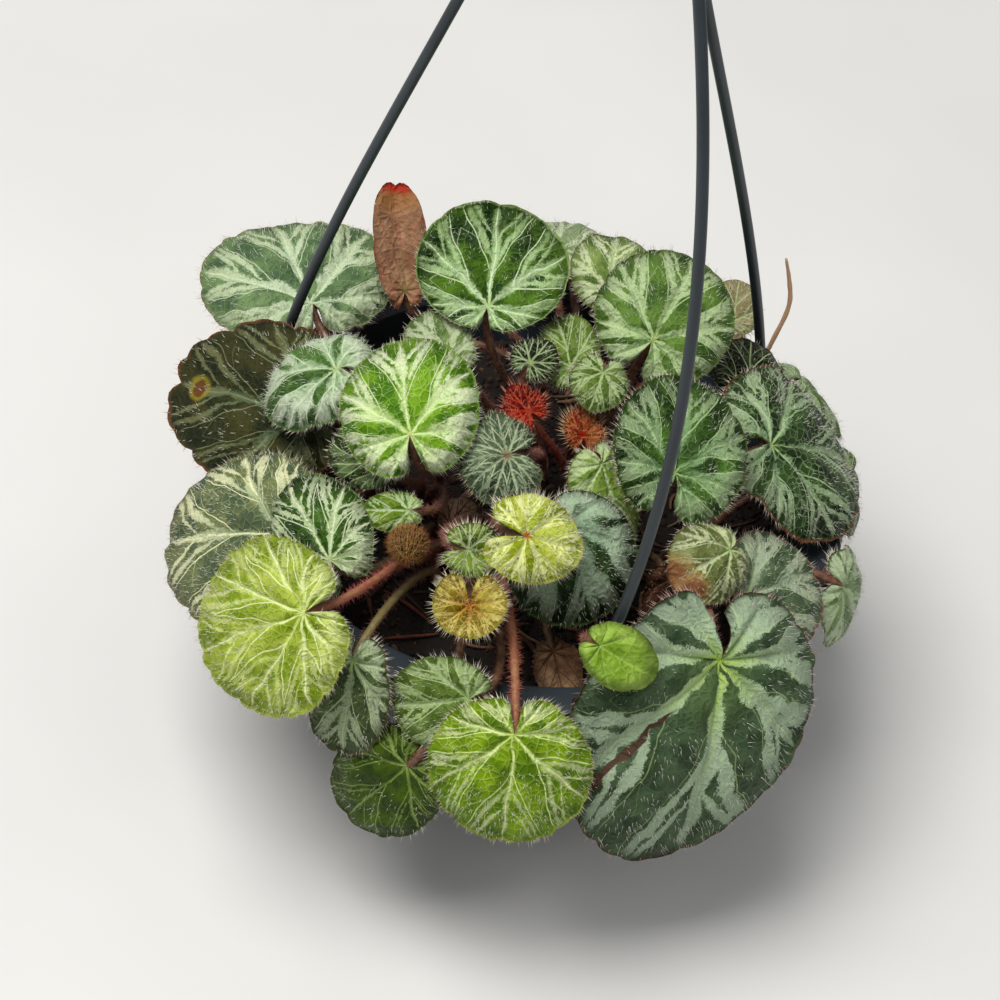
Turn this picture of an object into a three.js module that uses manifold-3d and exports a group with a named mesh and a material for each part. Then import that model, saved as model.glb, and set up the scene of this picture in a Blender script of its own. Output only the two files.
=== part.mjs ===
import * as THREE from 'three';
import { mergeVertices } from 'three/addons/utils/BufferGeometryUtils.js';
import Module from 'manifold-3d';

// Potted strawberry begonia in a hanging pot, millimetres, +Z up.
// The origin is the centre of the pot's flat underside.
// -Y is the side that the plant turns its fullest leaves to.

const wasm = await Module();
wasm.setup();

// Pot
const POT_HEIGHT = 80;
const RIM_RADIUS = 83.5;
const BASE_RADIUS = 50;
const WALL = 1.8;
const RIM_FLANGE_IN = 75.5;
const RIM_FLANGE_THICK = 2.2;
const RIM_LIP_DROP = 3.5;
const NECK_BELOW_RIM = 14;
const NECK_STEP_HIGH = 5;
const NECK_STEP_IN = 2;
const POT_FLOOR = 2.5;
const POT_SIDES = 30;
const BASE_CHAMFER = 2;
const RIM_CHAMFER = 1;
const DRAIN_COUNT = 6;
const DRAIN_RING = 33;
const DRAIN_RADIUS = 4.5;
const DRAIN_SIDES = 8;

// Soil
const SOIL_EDGE_HEIGHT = POT_HEIGHT - 16;
const SOIL_CROWN_HEIGHT = POT_HEIGHT - 9;
const SOIL_GAP = 0.4;
const SOIL_SIDES = 28;
const SOIL_RINGS = [50, 25, 0];
const STEM_HOLE_DEPTH = 8;
const STEM_HOLE_RADIUS = 2.1;
const STEM_HOLE_SIDES = 4;

// Hanger
const ARM_RING = 80;
const ARM_RADIUS = 1.45;
const ARM_SIDES = 8;
const ARM_STEPS = 15;
const ARM_FIRST_ANGLE = 162;
const HANGER_RISE = 258;
const HUB_RING = 3.2;
const HUB_RADIUS = 9;
const HUB_BELOW = 9;
const HUB_ABOVE = 6;
const HUB_SIDES = 10;
const HUB_CHAMFER = 2;
const HUB_SHOULDER = 5;
const LUG_WIDTH = 12;
const LUG_THICK = 4.5;
const KNOB_RADIUS = 2.9;
const KNOB_HEIGHT = 3.5;
const KNOB_TAPER = 0.6;
const KNOB_DROP = 8;
const HOOK_RADIUS = 15;
const HOOK_WIRE = 2.3;
const HOOK_SIDES = 8;
const HOOK_STEPS = 18;
const HOOK_NECK = 10;
const HOOK_ARC = 200;
const HOOK_ARC_POINTS = 11;
const FIT_GAP = 0.35;

// Each arm leaves the rim at its own slight bow: how far its two handles lie
// outward from the straight line to the hub, and sideways round the pot.
const ARM_BOWS = {
  left: { outward: [9, -11], sideways: [8, 1] },
  front: { outward: [19, 44], sideways: [25, 16] },
  right: { outward: [6, -12], sideways: [-2, 2] },
};

// Leaves
const BLADE_THICK = 1.0;
const SMALL_BLADE_THICK = 0.85;
const STEM_RADIUS = 1.15;
const STEM_SIDES = 5;
const NOTCH_HALF_ANGLE = 13;
const LOBE_ROUNDING = 34;
const LOBE_DEPTH = 0.42;
const SCALLOP_CUT = 0.06;

// How finely a blade of more than a given length is divided
const DETAIL = [
  { over: 30, scallops: 12, rings: [0.34, 0.7, 1], stemSteps: 9 },
  { over: 18, scallops: 10, rings: [0.5, 1], stemSteps: 8 },
  { over: 0, scallops: 7, rings: [0.55, 1], stemSteps: 6 },
];

const LOOKS = {
  dark: { color: '#3c5a3f', roughness: 0.5 },
  grey: { color: '#6d8069', roughness: 0.55 },
  olive: { color: '#4d4c33', roughness: 0.55 },
  green: { color: '#5c8f3a', roughness: 0.5 },
  lime: { color: '#a3bf4a', roughness: 0.5 },
  young: { color: '#b8b960', roughness: 0.6 },
  red: { color: '#8e2a22', roughness: 0.6 },
  dead: { color: '#7b5a43', roughness: 0.85 },
  bud: { color: '#8a7a35', roughness: 0.8 },
  straw: { color: '#c9a06a', roughness: 0.8 },
};

// Growing points in the soil, from which the stems rise
const CROWNS = {
  front: [-12, -22],
  middle: [4, 10],
  right: [30, -12],
  left: [-32, 6],
  back: [10, 42],
};

// One row is one leaf.
// at: where the stem meets the blade, with its height taken from the rim.
// face: the way the upper face looks, as a compass angle and a tilt from
// straight up. turn: the midrib's angle in the blade, from straight downhill.
// size: the blade from stem to tip, and across. back: how far the two base
// lobes reach behind the stem, over that length. cup lifts the rim (below zero
// it domes), fold lifts both halves from the midrib, droop bends the tip down,
// wave ripples the edge, skew makes one lower side longer than the other.
// foot: where the stem leaves its crown, as an angle and a distance.
// arrive: how much the stem comes along the midrib and through the face.
// sweep: how far the stem keeps its direction at both ends, over its span.
const PLAIN_LEAF = {
  back: 0.3, cup: -0.1, fold: 0, droop: 0.1, wave: 0.8, skew: 0,
  arrive: [0.75, 0.65], sweep: 0.35,
};

const LEAVES = [
  // The big outer leaves, which hang over the rim
  { name: 'leaf_front_big', look: 'dark', crown: 'right', foot: [-40, 17], at: [50, -70, 13],
    face: [-62, 58], turn: -14, size: [55, 67], back: 0.36, cup: -0.05, fold: 0.06, droop: 0.2,
    wave: 1.4, skew: -0.36 },
  { name: 'leaf_front_lime', look: 'lime', crown: 'front', foot: [-75, 14], at: [1, -98, 8],
    face: [-88, 60], turn: 0, size: [31, 42], fold: -0.06 },
  { name: 'leaf_front_fold', look: 'green', crown: 'front', foot: [-110, 11], at: [-11, -86, 5],
    face: [-112, 50], turn: -60, size: [22, 24], cup: -0.08, fold: 0.22 },
  { name: 'leaf_low_hanging', look: 'green', crown: 'front', foot: [-100, 19], at: [-24, -91, -17],
    face: [-112, 74], turn: -30, size: [31, 30], cup: -0.06, wave: 0.6, arrive: [1, -0.3], sweep: 0.6 },
  { name: 'leaf_low_silver', look: 'dark', crown: 'front', foot: [-130, 17], at: [-41, -77, 4],
    face: [-114, 64], turn: 8, size: [27, 24], cup: -0.05, fold: 0.2, wave: 0.6 },
  { name: 'leaf_left_lime', look: 'lime', crown: 'front', foot: [-155, 14], at: [-54, -75, 17],
    face: [-122, 50], turn: -43, size: [33, 48], cup: -0.06, fold: -0.05, wave: 1 },
  { name: 'leaf_left_stripe', look: 'green', crown: 'front', foot: [165, 14], at: [-50, -56, 17],
    face: [-125, 38], turn: -112, size: [27, 29], cup: -0.18, fold: -0.05, wave: 0.5 },
  { name: 'leaf_left_grey', look: 'grey', crown: 'left', foot: [-140, 15], at: [-65, -44, 12],
    face: [-150, 48], turn: -43, size: [46, 49], fold: 0.05, wave: 1.2 },
  { name: 'leaf_left_olive', look: 'olive', crown: 'left', foot: [175, 15], at: [-62, -7, 20],
    face: [-132, 38], turn: -68, size: [46, 47], cup: 0.04, fold: 0.05, wave: 1.6 },
  { name: 'leaf_back_left', look: 'grey', crown: 'left', foot: [130, 16], at: [-68, 44, 13],
    face: [-90, 8], turn: -154, size: [37, 56], cup: -0.06, wave: 1 },
  { name: 'leaf_right_big', look: 'dark', crown: 'right', foot: [5, 15], at: [59, -4, 26],
    face: [-12, 38], turn: 40, size: [41, 51], back: 0.35, cup: -0.12, fold: 0.05, wave: 1.4 },
  { name: 'leaf_right_back', look: 'dark', crown: 'right', foot: [-28, 24], at: [56, -46, 12],
    face: [-35, 32], turn: 70, size: [27, 34], wave: 1, back: 0.14 },
  { name: 'leaf_right_low', look: 'green', crown: 'right', foot: [-15, 20], at: [82, -28, 1],
    face: [-20, 76], turn: 30, size: [26, 28], cup: -0.08, arrive: [1, -0.1] },
  { name: 'leaf_right_edge', look: 'green', crown: 'right', foot: [25, 20], at: [84.5, 15, -1],
    face: [-5, 72], turn: 20, size: [22, 24], cup: -0.08, arrive: [1, -0.1] },

  // The upper leaves round the hollow
  { name: 'leaf_top_cup', look: 'green', crown: 'middle', foot: [125, 8], at: [-19, 15, 45],
    face: [-90, 32], turn: 180, size: [30, 41], back: 0.25, cup: 0.16, droop: 0, wave: 0.5 },
  { name: 'leaf_top_right', look: 'green', crown: 'middle', foot: [0, 10], at: [25, 12, 43],
    face: [-75, 33], turn: 145, size: [29, 38], back: 0.38, cup: -0.12, fold: 0.05, wave: 1.2 },
  { name: 'leaf_middle_bright', look: 'green', crown: 'left', foot: [-50, 9], at: [-34, -33, 42],
    face: [-110, 32], turn: -148, size: [29, 37], back: 0.4, cup: -0.16, fold: -0.05 },
  { name: 'leaf_middle_under', look: 'green', crown: 'left', foot: [-85, 12], at: [-40, -31, 29],
    face: [-120, 38], turn: -110, size: [18, 24], fold: 0.1 },
  { name: 'leaf_left_convex', look: 'green', crown: 'left', foot: [-160, 9], at: [-55, -9, 38.5],
    face: [-165, 32], turn: -30, size: [27, 32], cup: -0.2, wave: 0.5 },
  { name: 'leaf_fold_right', look: 'green', crown: 'right', foot: [110, 9], at: [34, -29, 36],
    face: [-60, 34], turn: 150, size: [27, 38], back: 0.5, fold: 0.3, wave: 1 },
  { name: 'leaf_silver_dome', look: 'dark', crown: 'right', foot: [-130, 8], at: [7, -45, 29],
    face: [-68, 42], turn: 14, size: [27, 37], cup: -0.18, wave: 0.4 },
  { name: 'leaf_striped_fold', look: 'green', crown: 'right', foot: [170, 9], at: [15, -25, 32],
    face: [-50, 44], turn: -5, size: [25, 20], back: 0.25, fold: -0.3, wave: 0.5 },
  { name: 'leaf_small_dark', look: 'dark', crown: 'middle', foot: [-140, 9], at: [-9, -31, 37],
    face: [-80, 24], turn: -80, size: [13, 26], back: 0.75, droop: 0 },
  { name: 'leaf_right_convex', look: 'young', crown: 'right', foot: [-60, 9], at: [50, -42, 24],
    face: [-52, 32], turn: -83, size: [18, 22], cup: -0.2, wave: 0.6 },
  { name: 'leaf_back_bright', look: 'green', crown: 'back', foot: [80, 9], at: [14, 54, 22],
    face: [-80, 12], turn: 170, size: [24, 24], cup: -0.14, fold: 0.1 },
  { name: 'leaf_back_edge', look: 'grey', crown: 'back', foot: [120, 9], at: [-2, 68, 22],
    face: [90, 8], turn: 0, size: [22, 32] },
  { name: 'leaf_back_fold', look: 'red', crown: 'back', foot: [160, 12], at: [-43, 51, 16],
    face: [-80, 35], turn: -176, size: [32, 16], back: 0.2, cup: 0.1, fold: 0.5, droop: 0, wave: 1 },
  { name: 'leaf_back_olive', look: 'olive', crown: 'back', foot: [10, 14], at: [49, 58, 13],
    face: [-60, 20], turn: 145, size: [16, 16], fold: 0.1 },
  { name: 'leaf_right_shade', look: 'olive', crown: 'middle', foot: [35, 14], at: [53, 18, 24],
    face: [-60, 15], turn: 148, size: [19, 20], fold: 0.1 },

  // Leaves low on the far side
  { name: 'leaf_rear_middle', look: 'dark', crown: 'back', foot: [95, 17], at: [2, 86, 5],
    face: [90, 62], turn: 0, size: [32, 38], fold: 0.05, wave: 1.2 },
  { name: 'leaf_rear_left', look: 'grey', crown: 'back', foot: [140, 20], at: [-43, 77, 3],
    face: [120, 60], turn: 0, size: [30, 36], fold: 0.05, wave: 1.2 },
  { name: 'leaf_rear_right', look: 'dark', crown: 'back', foot: [45, 19], at: [38, 78, 5],
    face: [62, 62], turn: 0, size: [30, 36], fold: 0.05, wave: 1.2 },
  { name: 'leaf_rear_side', look: 'green', crown: 'back', foot: [-28, 36], at: [69, 38, 11],
    face: [30, 50], turn: 0, size: [23, 27], fold: 0.05, wave: 1 },

  // Young leaves in and round the hollow
  { name: 'young_yellow', look: 'young', crown: 'front', foot: [15, 9], at: [-2, -58, 36],
    face: [-80, 38], turn: 75, size: [15, 23], back: 0.8, droop: 0 },
  { name: 'young_cup', look: 'young', crown: 'front', foot: [-40, 5], at: [-14, -70, 22],
    face: [-85, 30], turn: 0, size: [9.5, 19], back: 0.9, cup: 0.3, droop: 0, wave: 0.3 },
  { name: 'young_curl', look: 'young', crown: 'front', foot: [60, 5], at: [-16, -60, 31],
    face: [-80, 40], turn: 80, size: [10, 14], back: 0.7, cup: -0.25, fold: 0.5, droop: 0, wave: 0.3 },
  { name: 'young_glossy', look: 'green', crown: 'left', foot: [-75, 14], at: [-32, -44, 26],
    face: [-110, 38], turn: -69, size: [13, 11], cup: -0.2, droop: 0, wave: 0.2 },
  { name: 'young_speckled', look: 'young', crown: 'middle', foot: [175, 13], at: [-27, 3, 37],
    face: [-105, 26], turn: -118, size: [16, 19], back: 0.4, fold: 0.1, droop: 0 },
  { name: 'young_dark', look: 'dark', crown: 'middle', foot: [-130, 4], at: [-6, 2.5, 38.5],
    face: [-90, 24], turn: 150, size: [9, 13], back: 0.5, cup: -0.15, droop: 0, wave: 0.4 },
  { name: 'young_pointed', look: 'green', crown: 'middle', foot: [60, 8], at: [5, 6, 36],
    face: [-120, 32], turn: -132, size: [16, 18], back: 0.4, cup: -0.05, fold: 0.2, droop: 0 },
  { name: 'young_low', look: 'green', crown: 'middle', foot: [-35, 8], at: [13, 1, 40],
    face: [-80, 28], turn: -20, size: [11, 16], back: 0.5, fold: 0.1, droop: 0 },
  { name: 'young_green_curl', look: 'lime', crown: 'front', foot: [-48, 47], at: [19, -83, 27],
    face: [-80, 46], turn: 60, size: [17, 16], cup: 0.05, fold: 0.15, wave: 1, arrive: [0.4, 0.9], sweep: 0.3 },
  { name: 'young_red', look: 'red', crown: 'middle', foot: [-60, 10], at: [-5, -5, 28.5],
    face: [-80, 30], turn: -140, size: [8, 11], back: 0.6, cup: 0.3, fold: 0.2, droop: 0, wave: 0.6 },
  { name: 'young_red_right', look: 'red', crown: 'middle', foot: [-35, 15], at: [10, -10, 27],
    face: [-70, 30], turn: 170, size: [8, 11], back: 0.6, cup: 0.25, fold: 0.1, droop: 0, wave: 0.6 },
  { name: 'dead_right', look: 'dead', crown: 'right', foot: [-100, 8], at: [36, -41, 9],
    face: [-60, 30], turn: -30, size: [13, 13], cup: 0.2, fold: 0.3, wave: 2 },
  { name: 'dead_middle', look: 'dead', crown: 'left', foot: [-20, 18], at: [-22, -26, 5],
    face: [-60, 30], turn: 120, size: [9, 9], cup: 0.2, fold: 0.3, wave: 1.6 },
  { name: 'dead_front', look: 'dead', crown: 'front', foot: [-35, 18], at: [9, -58, -5],
    face: [-80, 24], turn: 10, size: [15, 13], cup: 0.1, fold: 0.3, wave: 1.2 },
].map((leaf) => ({ ...PLAIN_LEAF, ...leaf }));

// A rolled young leaf, still a ball on its stem
const BUD = {
  name: 'young_bud', look: 'bud', crown: 'front', foot: [-178, 6], at: [-31, -54, 24],
  face: [-90, 20], turn: 180, arrive: [0.2, 1], sweep: 0.35,
};
const BUD_RADIUS = 5;
const BUD_FLATTENING = 0.9;
const BUD_SIDES = 8;
const BUD_BANDS = 7;
const BUD_STEM_STEPS = 6;

// A dry runner that stands up from the soil beside the right arm, its heights
// taken from the rim
const RUNNER_RADIUS = 0.8;
const RUNNER_STEPS = 14;
const RUNNER_FOOT = [52, 34];
const RUNNER_ROUTE = [[58, 38, 20], [62, 41, 35], [61, 43, 43], [59, 44, 50]];

const radians = THREE.MathUtils.degToRad;

function toSolid(geometry) {
  const bare = geometry.clone();
  bare.deleteAttribute('normal');
  bare.deleteAttribute('uv');
  const merged = mergeVertices(bare, 1e-4);
  return new wasm.Manifold(new wasm.Mesh({
    numProp: 3,
    vertProperties: new Float32Array(merged.attributes.position.array),
    triVerts: new Uint32Array(merged.index.array),
  }));
}

function toGeometry(solid) {
  const mesh = solid.getMesh();
  const geometry = new THREE.BufferGeometry();
  geometry.setAttribute('position', new THREE.BufferAttribute(mesh.vertProperties, 3));
  geometry.setIndex(new THREE.BufferAttribute(mesh.triVerts, 1));
  geometry.computeVertexNormals();
  return geometry;
}

function namedMesh(name, solid, material) {
  const mesh = new THREE.Mesh(toGeometry(solid), material);
  mesh.name = name;
  return mesh;
}

function tubeAlong(path, radius, sides, steps) {
  const section = new THREE.Shape();
  for (let i = 0; i < sides; i += 1) {
    const angle = (i / sides) * 2 * Math.PI;
    const x = radius * Math.cos(angle);
    const y = radius * Math.sin(angle);
    if (i === 0) section.moveTo(x, y);
    else section.lineTo(x, y);
  }
  section.closePath();
  return toSolid(new THREE.ExtrudeGeometry(section, { steps, extrudePath: path, bevelEnabled: false }));
}

function uprightCylinder(x, y, bottom, top, radius, sides) {
  const geometry = new THREE.CylinderGeometry(radius, radius, top - bottom, sides);
  geometry.rotateX(Math.PI / 2);
  geometry.translate(x, y, (top + bottom) / 2);
  return toSolid(geometry);
}

function lathe(profile, sides) {
  const points = profile.map(([radius, height]) => new THREE.Vector2(radius, height));
  const geometry = new THREE.LatheGeometry(points, sides);
  geometry.rotateX(Math.PI / 2);
  return toSolid(geometry);
}

function soilHeight(x, y) {
  const fall = Math.min(1, Math.hypot(x, y) / RIM_FLANGE_IN);
  return SOIL_CROWN_HEIGHT - (SOIL_CROWN_HEIGHT - SOIL_EDGE_HEIGHT) * fall * fall;
}

function leafDetail(leaf) {
  return DETAIL.find((row) => leaf.size[0] > row.over);
}

// The blade's outline is an oval round a point ahead of the stem, with a
// notch behind the stem between two rounded lobes.
function bladeOutline(leaf) {
  const [long, wide] = leaf.size;
  const halfLong = long * (1 + leaf.back) / 2;
  const ahead = long - halfLong;
  const halfWide = wide / 2;
  const widest = Math.PI - radians(NOTCH_HALF_ANGLE);
  const reach = (angle) => {
    const c = Math.cos(angle) / halfLong;
    const s = Math.sin(angle) / halfWide;
    const k = ahead / halfLong;
    const a = c * c + s * s;
    const b = -2 * c * k;
    const d = k * k - 1;
    const oval = (-b + Math.sqrt(b * b - 4 * a * d)) / (2 * a);
    const nearNotch = Math.min(1, (widest - Math.abs(angle)) / radians(LOBE_ROUNDING));
    const rounding = Math.sqrt(1 - (1 - nearNotch) ** 2);
    const uneven = 1 + leaf.skew * Math.sin(angle) * Math.max(0, Math.cos(angle));
    return oval * uneven * (1 - LOBE_DEPTH * (1 - rounding));
  };
  return { ahead, halfLong, halfWide, widest, reach };
}

function bladeHeight(leaf, outline, u, v, angle, t) {
  const { ahead, halfLong, halfWide } = outline;
  const out = ((u - ahead) / halfLong) ** 2 + (v / halfWide) ** 2 - (ahead / halfLong) ** 2;
  const crease = 0.15 * halfWide;
  let height = leaf.cup * halfWide * out;
  height += leaf.fold * (Math.hypot(v, crease) - crease);
  if (u > 0) height -= leaf.droop * u * u / (2 * leaf.size[0]);
  height += leaf.wave * Math.sin(4 * angle + leaf.size[0]) * t ** 3;
  return height;
}

// The blade: two faces split into triangles alike, closed round the edge.
// Its inner rings have one point for every two on its edge.
function bladeGeometry(leaf) {
  const outline = bladeOutline(leaf);
  const { scallops, rings } = leafDetail(leaf);
  const half = (leaf.size[0] > 18 ? BLADE_THICK : SMALL_BLADE_THICK) / 2;
  const last = rings.length - 1;
  const counts = rings.map((t, ring) => (ring === last ? scallops * 2 : scallops));
  const positions = [];
  const starts = [];
  for (const side of [half, -half]) {
    starts.push([positions.length / 3]);
    positions.push(0, 0, side);
    rings.forEach((t, ring) => {
      starts.at(-1).push(positions.length / 3);
      for (let i = 0; i <= counts[ring]; i += 1) {
        const angle = outline.widest * (2 * i / counts[ring] - 1);
        const cut = ring === last && i % 2 === 0 ? 1 - SCALLOP_CUT : 1;
        const radius = outline.reach(angle) * t * cut;
        const u = radius * Math.cos(angle);
        const v = radius * Math.sin(angle);
        positions.push(u, v, bladeHeight(leaf, outline, u, v, angle, t) + side);
      }
    });
  }
  const at = (face, ring, i) => (ring < 0 ? starts[face][0] : starts[face][ring + 1] + i);
  const index = [];
  for (let face = 0; face < 2; face += 1) {
    const put = (a, b, c) => (face === 0 ? index.push(a, b, c) : index.push(a, c, b));
    for (let ring = 0; ring <= last; ring += 1) {
      const step = ring === last ? 2 : 1;
      for (let i = 0; i < scallops; i += 1) {
        const inner = at(face, ring - 1, i);
        const outer = at(face, ring, i * step);
        put(inner, outer, outer + 1);
        if (step === 2) put(inner, outer + 1, outer + 2);
        if (ring > 0) put(inner, outer + step, at(face, ring - 1, i + 1));
      }
    }
  }
  const wall = (top1, top2, low1, low2) => index.push(top1, low1, low2, top1, low2, top2);
  for (let i = 0; i < counts[last]; i += 1) {
    wall(at(0, last, i), at(0, last, i + 1), at(1, last, i), at(1, last, i + 1));
  }
  for (let ring = 0; ring <= last; ring += 1) {
    const end = counts[ring];
    const before = ring === 0 ? 0 : counts[ring - 1];
    wall(at(0, ring - 1, 0), at(0, ring, 0), at(1, ring - 1, 0), at(1, ring, 0));
    wall(at(0, ring, end), at(0, ring - 1, before), at(1, ring, end), at(1, ring - 1, before));
  }
  const geometry = new THREE.BufferGeometry();
  geometry.setAttribute('position', new THREE.BufferAttribute(new Float32Array(positions), 3));
  geometry.setIndex(index);
  return geometry;
}

// The three directions of a blade: along the midrib, across, and out of its face.
function bladeFrame(leaf) {
  const compass = radians(leaf.face[0]);
  const tilt = radians(leaf.face[1]);
  const turn = radians(leaf.turn);
  const normal = new THREE.Vector3(
    Math.cos(compass) * Math.sin(tilt), Math.sin(compass) * Math.sin(tilt), Math.cos(tilt));
  const downhill = new THREE.Vector3(
    Math.cos(compass) * Math.cos(tilt), Math.sin(compass) * Math.cos(tilt), -Math.sin(tilt));
  const sideways = new THREE.Vector3().crossVectors(normal, downhill);
  const midrib = downhill.clone().multiplyScalar(Math.cos(turn));
  midrib.addScaledVector(sideways, Math.sin(turn));
  const across = new THREE.Vector3().crossVectors(normal, midrib);
  return { normal, midrib, across };
}

function bladePoint(leaf) {
  const [x, y, aboveRim] = leaf.at;
  return new THREE.Vector3(x, y, POT_HEIGHT + aboveRim);
}

function stemFoot(leaf) {
  const [x, y] = CROWNS[leaf.crown];
  const angle = radians(leaf.foot[0]);
  return [x + leaf.foot[1] * Math.cos(angle), y + leaf.foot[1] * Math.sin(angle)];
}

// A path that starts in a stem hole and goes on from just above the soil.
function pathFromSoil([x, y], curveFrom) {
  const ground = soilHeight(x, y);
  const bottom = new THREE.Vector3(x, y, ground - STEM_HOLE_DEPTH + FIT_GAP);
  const surface = new THREE.Vector3(x, y, ground + 1);
  const path = new THREE.CurvePath();
  path.add(new THREE.LineCurve3(bottom, surface));
  path.add(curveFrom(surface));
  return path;
}

function stemPath(leaf) {
  const { normal, midrib } = bladeFrame(leaf);
  const [along, through] = leaf.arrive;
  const arriving = midrib.clone().multiplyScalar(along).addScaledVector(normal, through).normalize();
  const top = bladePoint(leaf);
  return pathFromSoil(stemFoot(leaf), (surface) => {
    const handle = leaf.sweep * surface.distanceTo(top);
    const lower = surface.clone().add(new THREE.Vector3(0, 0, handle));
    const upper = top.clone().addScaledVector(arriving, -handle);
    return new THREE.CubicBezierCurve3(surface, lower, upper, top);
  });
}

function makeLeaf(leaf) {
  const { normal, midrib, across } = bladeFrame(leaf);
  const place = new THREE.Matrix4().makeBasis(midrib, across, normal).setPosition(bladePoint(leaf));
  const blade = toSolid(bladeGeometry(leaf).applyMatrix4(place));
  const stem = tubeAlong(stemPath(leaf), STEM_RADIUS, STEM_SIDES, leafDetail(leaf).stemSteps);
  const look = LOOKS[leaf.look];
  return namedMesh(leaf.name, blade.add(stem), new THREE.MeshStandardMaterial(look));
}

function makeBud() {
  const ball = new THREE.SphereGeometry(BUD_RADIUS, BUD_SIDES, BUD_BANDS);
  ball.scale(1, 1, BUD_FLATTENING);
  ball.translate(...bladePoint(BUD).toArray());
  const stem = tubeAlong(stemPath(BUD), STEM_RADIUS, STEM_SIDES, BUD_STEM_STEPS);
  return namedMesh(BUD.name, toSolid(ball).add(stem), new THREE.MeshStandardMaterial(LOOKS[BUD.look]));
}

function makeRunner() {
  const route = RUNNER_ROUTE.map(([x, y, aboveRim]) => new THREE.Vector3(x, y, POT_HEIGHT + aboveRim));
  const path = pathFromSoil(RUNNER_FOOT, (surface) => new THREE.CatmullRomCurve3([surface, ...route]));
  const runner = tubeAlong(path, RUNNER_RADIUS, STEM_SIDES, RUNNER_STEPS);
  return namedMesh('dry_runner', runner, new THREE.MeshStandardMaterial(LOOKS.straw));
}

function armAngle(index) {
  return radians(ARM_FIRST_ANGLE + 120 * index);
}

function armPath(side, index) {
  const angle = armAngle(index);
  const outward = new THREE.Vector3(Math.cos(angle), Math.sin(angle), 0);
  const sideways = new THREE.Vector3(-Math.sin(angle), Math.cos(angle), 0);
  const rim = outward.clone().multiplyScalar(ARM_RING).setZ(POT_HEIGHT);
  const hub = outward.clone().multiplyScalar(HUB_RING).setZ(POT_HEIGHT + HANGER_RISE);
  const bow = ARM_BOWS[side];
  const handles = [1 / 3, 2 / 3].map((share, i) => rim.clone().lerp(hub, share)
    .addScaledVector(outward, bow.outward[i]).addScaledVector(sideways, bow.sideways[i]));
  const start = handles[0].clone().sub(rim).normalize();
  const below = rim.clone().addScaledVector(start, -KNOB_DROP);
  const path = new THREE.CurvePath();
  path.add(new THREE.LineCurve3(below, rim));
  path.add(new THREE.CubicBezierCurve3(rim, handles[0], handles[1], hub));
  return { path, below, start };
}

function makeArm(side, index, material) {
  const { path, below, start } = armPath(side, index);
  const rod = tubeAlong(path, ARM_RADIUS, ARM_SIDES, ARM_STEPS);
  const knob = new THREE.CylinderGeometry(KNOB_RADIUS, KNOB_RADIUS * KNOB_TAPER, KNOB_HEIGHT, ARM_SIDES);
  const turn = new THREE.Quaternion().setFromUnitVectors(new THREE.Vector3(0, 1, 0), start);
  knob.applyQuaternion(turn);
  knob.translate(below.x, below.y, below.z);
  return namedMesh(`hanger_arm_${side}`, rod.add(toSolid(knob)), material);
}

function armClearance(side, index) {
  return tubeAlong(armPath(side, index).path, ARM_RADIUS + FIT_GAP, ARM_SIDES, ARM_STEPS);
}

function hookCurve(low) {
  const centre = low + HOOK_NECK + HOOK_RADIUS;
  const arc = [];
  for (let i = 0; i < HOOK_ARC_POINTS; i += 1) {
    const angle = radians(HOOK_ARC * i / (HOOK_ARC_POINTS - 1));
    arc.push(new THREE.Vector3(HOOK_RADIUS * Math.cos(angle), 0, centre + HOOK_RADIUS * Math.sin(angle)));
  }
  const neck = new THREE.Vector3(0, 0, low + HOOK_NECK * 0.4);
  const path = new THREE.CurvePath();
  path.add(new THREE.LineCurve3(new THREE.Vector3(0, 0, low - 3), neck));
  path.add(new THREE.CubicBezierCurve3(
    neck, new THREE.Vector3(0, 0, low + HOOK_NECK), new THREE.Vector3(HOOK_RADIUS, 0, low + HOOK_NECK), arc[0]));
  path.add(new THREE.CatmullRomCurve3(arc));
  return path;
}

// The hub that the arms end in, with the hook above it.
function makeHook(material, sockets) {
  const low = POT_HEIGHT + HANGER_RISE - HUB_BELOW;
  const high = POT_HEIGHT + HANGER_RISE + HUB_ABOVE;
  let hub = lathe([
    [0, low], [HUB_RADIUS - HUB_CHAMFER / 2, low], [HUB_RADIUS, low + HUB_CHAMFER],
    [HUB_RADIUS, high - HUB_SHOULDER], [HOOK_WIRE + 1, high], [0, high],
  ], HUB_SIDES);
  for (const socket of sockets) hub = hub.subtract(socket);
  const hook = tubeAlong(hookCurve(high), HOOK_WIRE, HOOK_SIDES, HOOK_STEPS);
  return namedMesh('hanger_hook', hub.add(hook), material);
}

// Radii of the pot's wall just under the rim, which the soil shares.
const insideRadius = RIM_FLANGE_IN - RIM_CHAMFER;
const outsideRadius = insideRadius + WALL;
const neckHeight = POT_HEIGHT - NECK_BELOW_RIM;

function potShell() {
  const flangeLow = POT_HEIGHT - RIM_FLANGE_THICK;
  const lipLow = POT_HEIGHT - RIM_LIP_DROP;
  const lip = RIM_RADIUS - WALL;
  return lathe([
    [0, 0], [BASE_RADIUS - BASE_CHAMFER, 0], [BASE_RADIUS, BASE_CHAMFER],
    [outsideRadius - NECK_STEP_IN, neckHeight], [outsideRadius, neckHeight + NECK_STEP_HIGH],
    [outsideRadius, flangeLow], [lip, flangeLow], [lip, lipLow], [RIM_RADIUS, lipLow],
    [RIM_RADIUS, POT_HEIGHT - RIM_CHAMFER], [RIM_RADIUS - RIM_CHAMFER, POT_HEIGHT],
    [RIM_FLANGE_IN, POT_HEIGHT], [insideRadius, POT_HEIGHT - RIM_CHAMFER],
    [insideRadius, neckHeight + NECK_STEP_HIGH], [insideRadius - NECK_STEP_IN, neckHeight],
    [BASE_RADIUS - WALL, POT_FLOOR], [0, POT_FLOOR],
  ], POT_SIDES);
}

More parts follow.
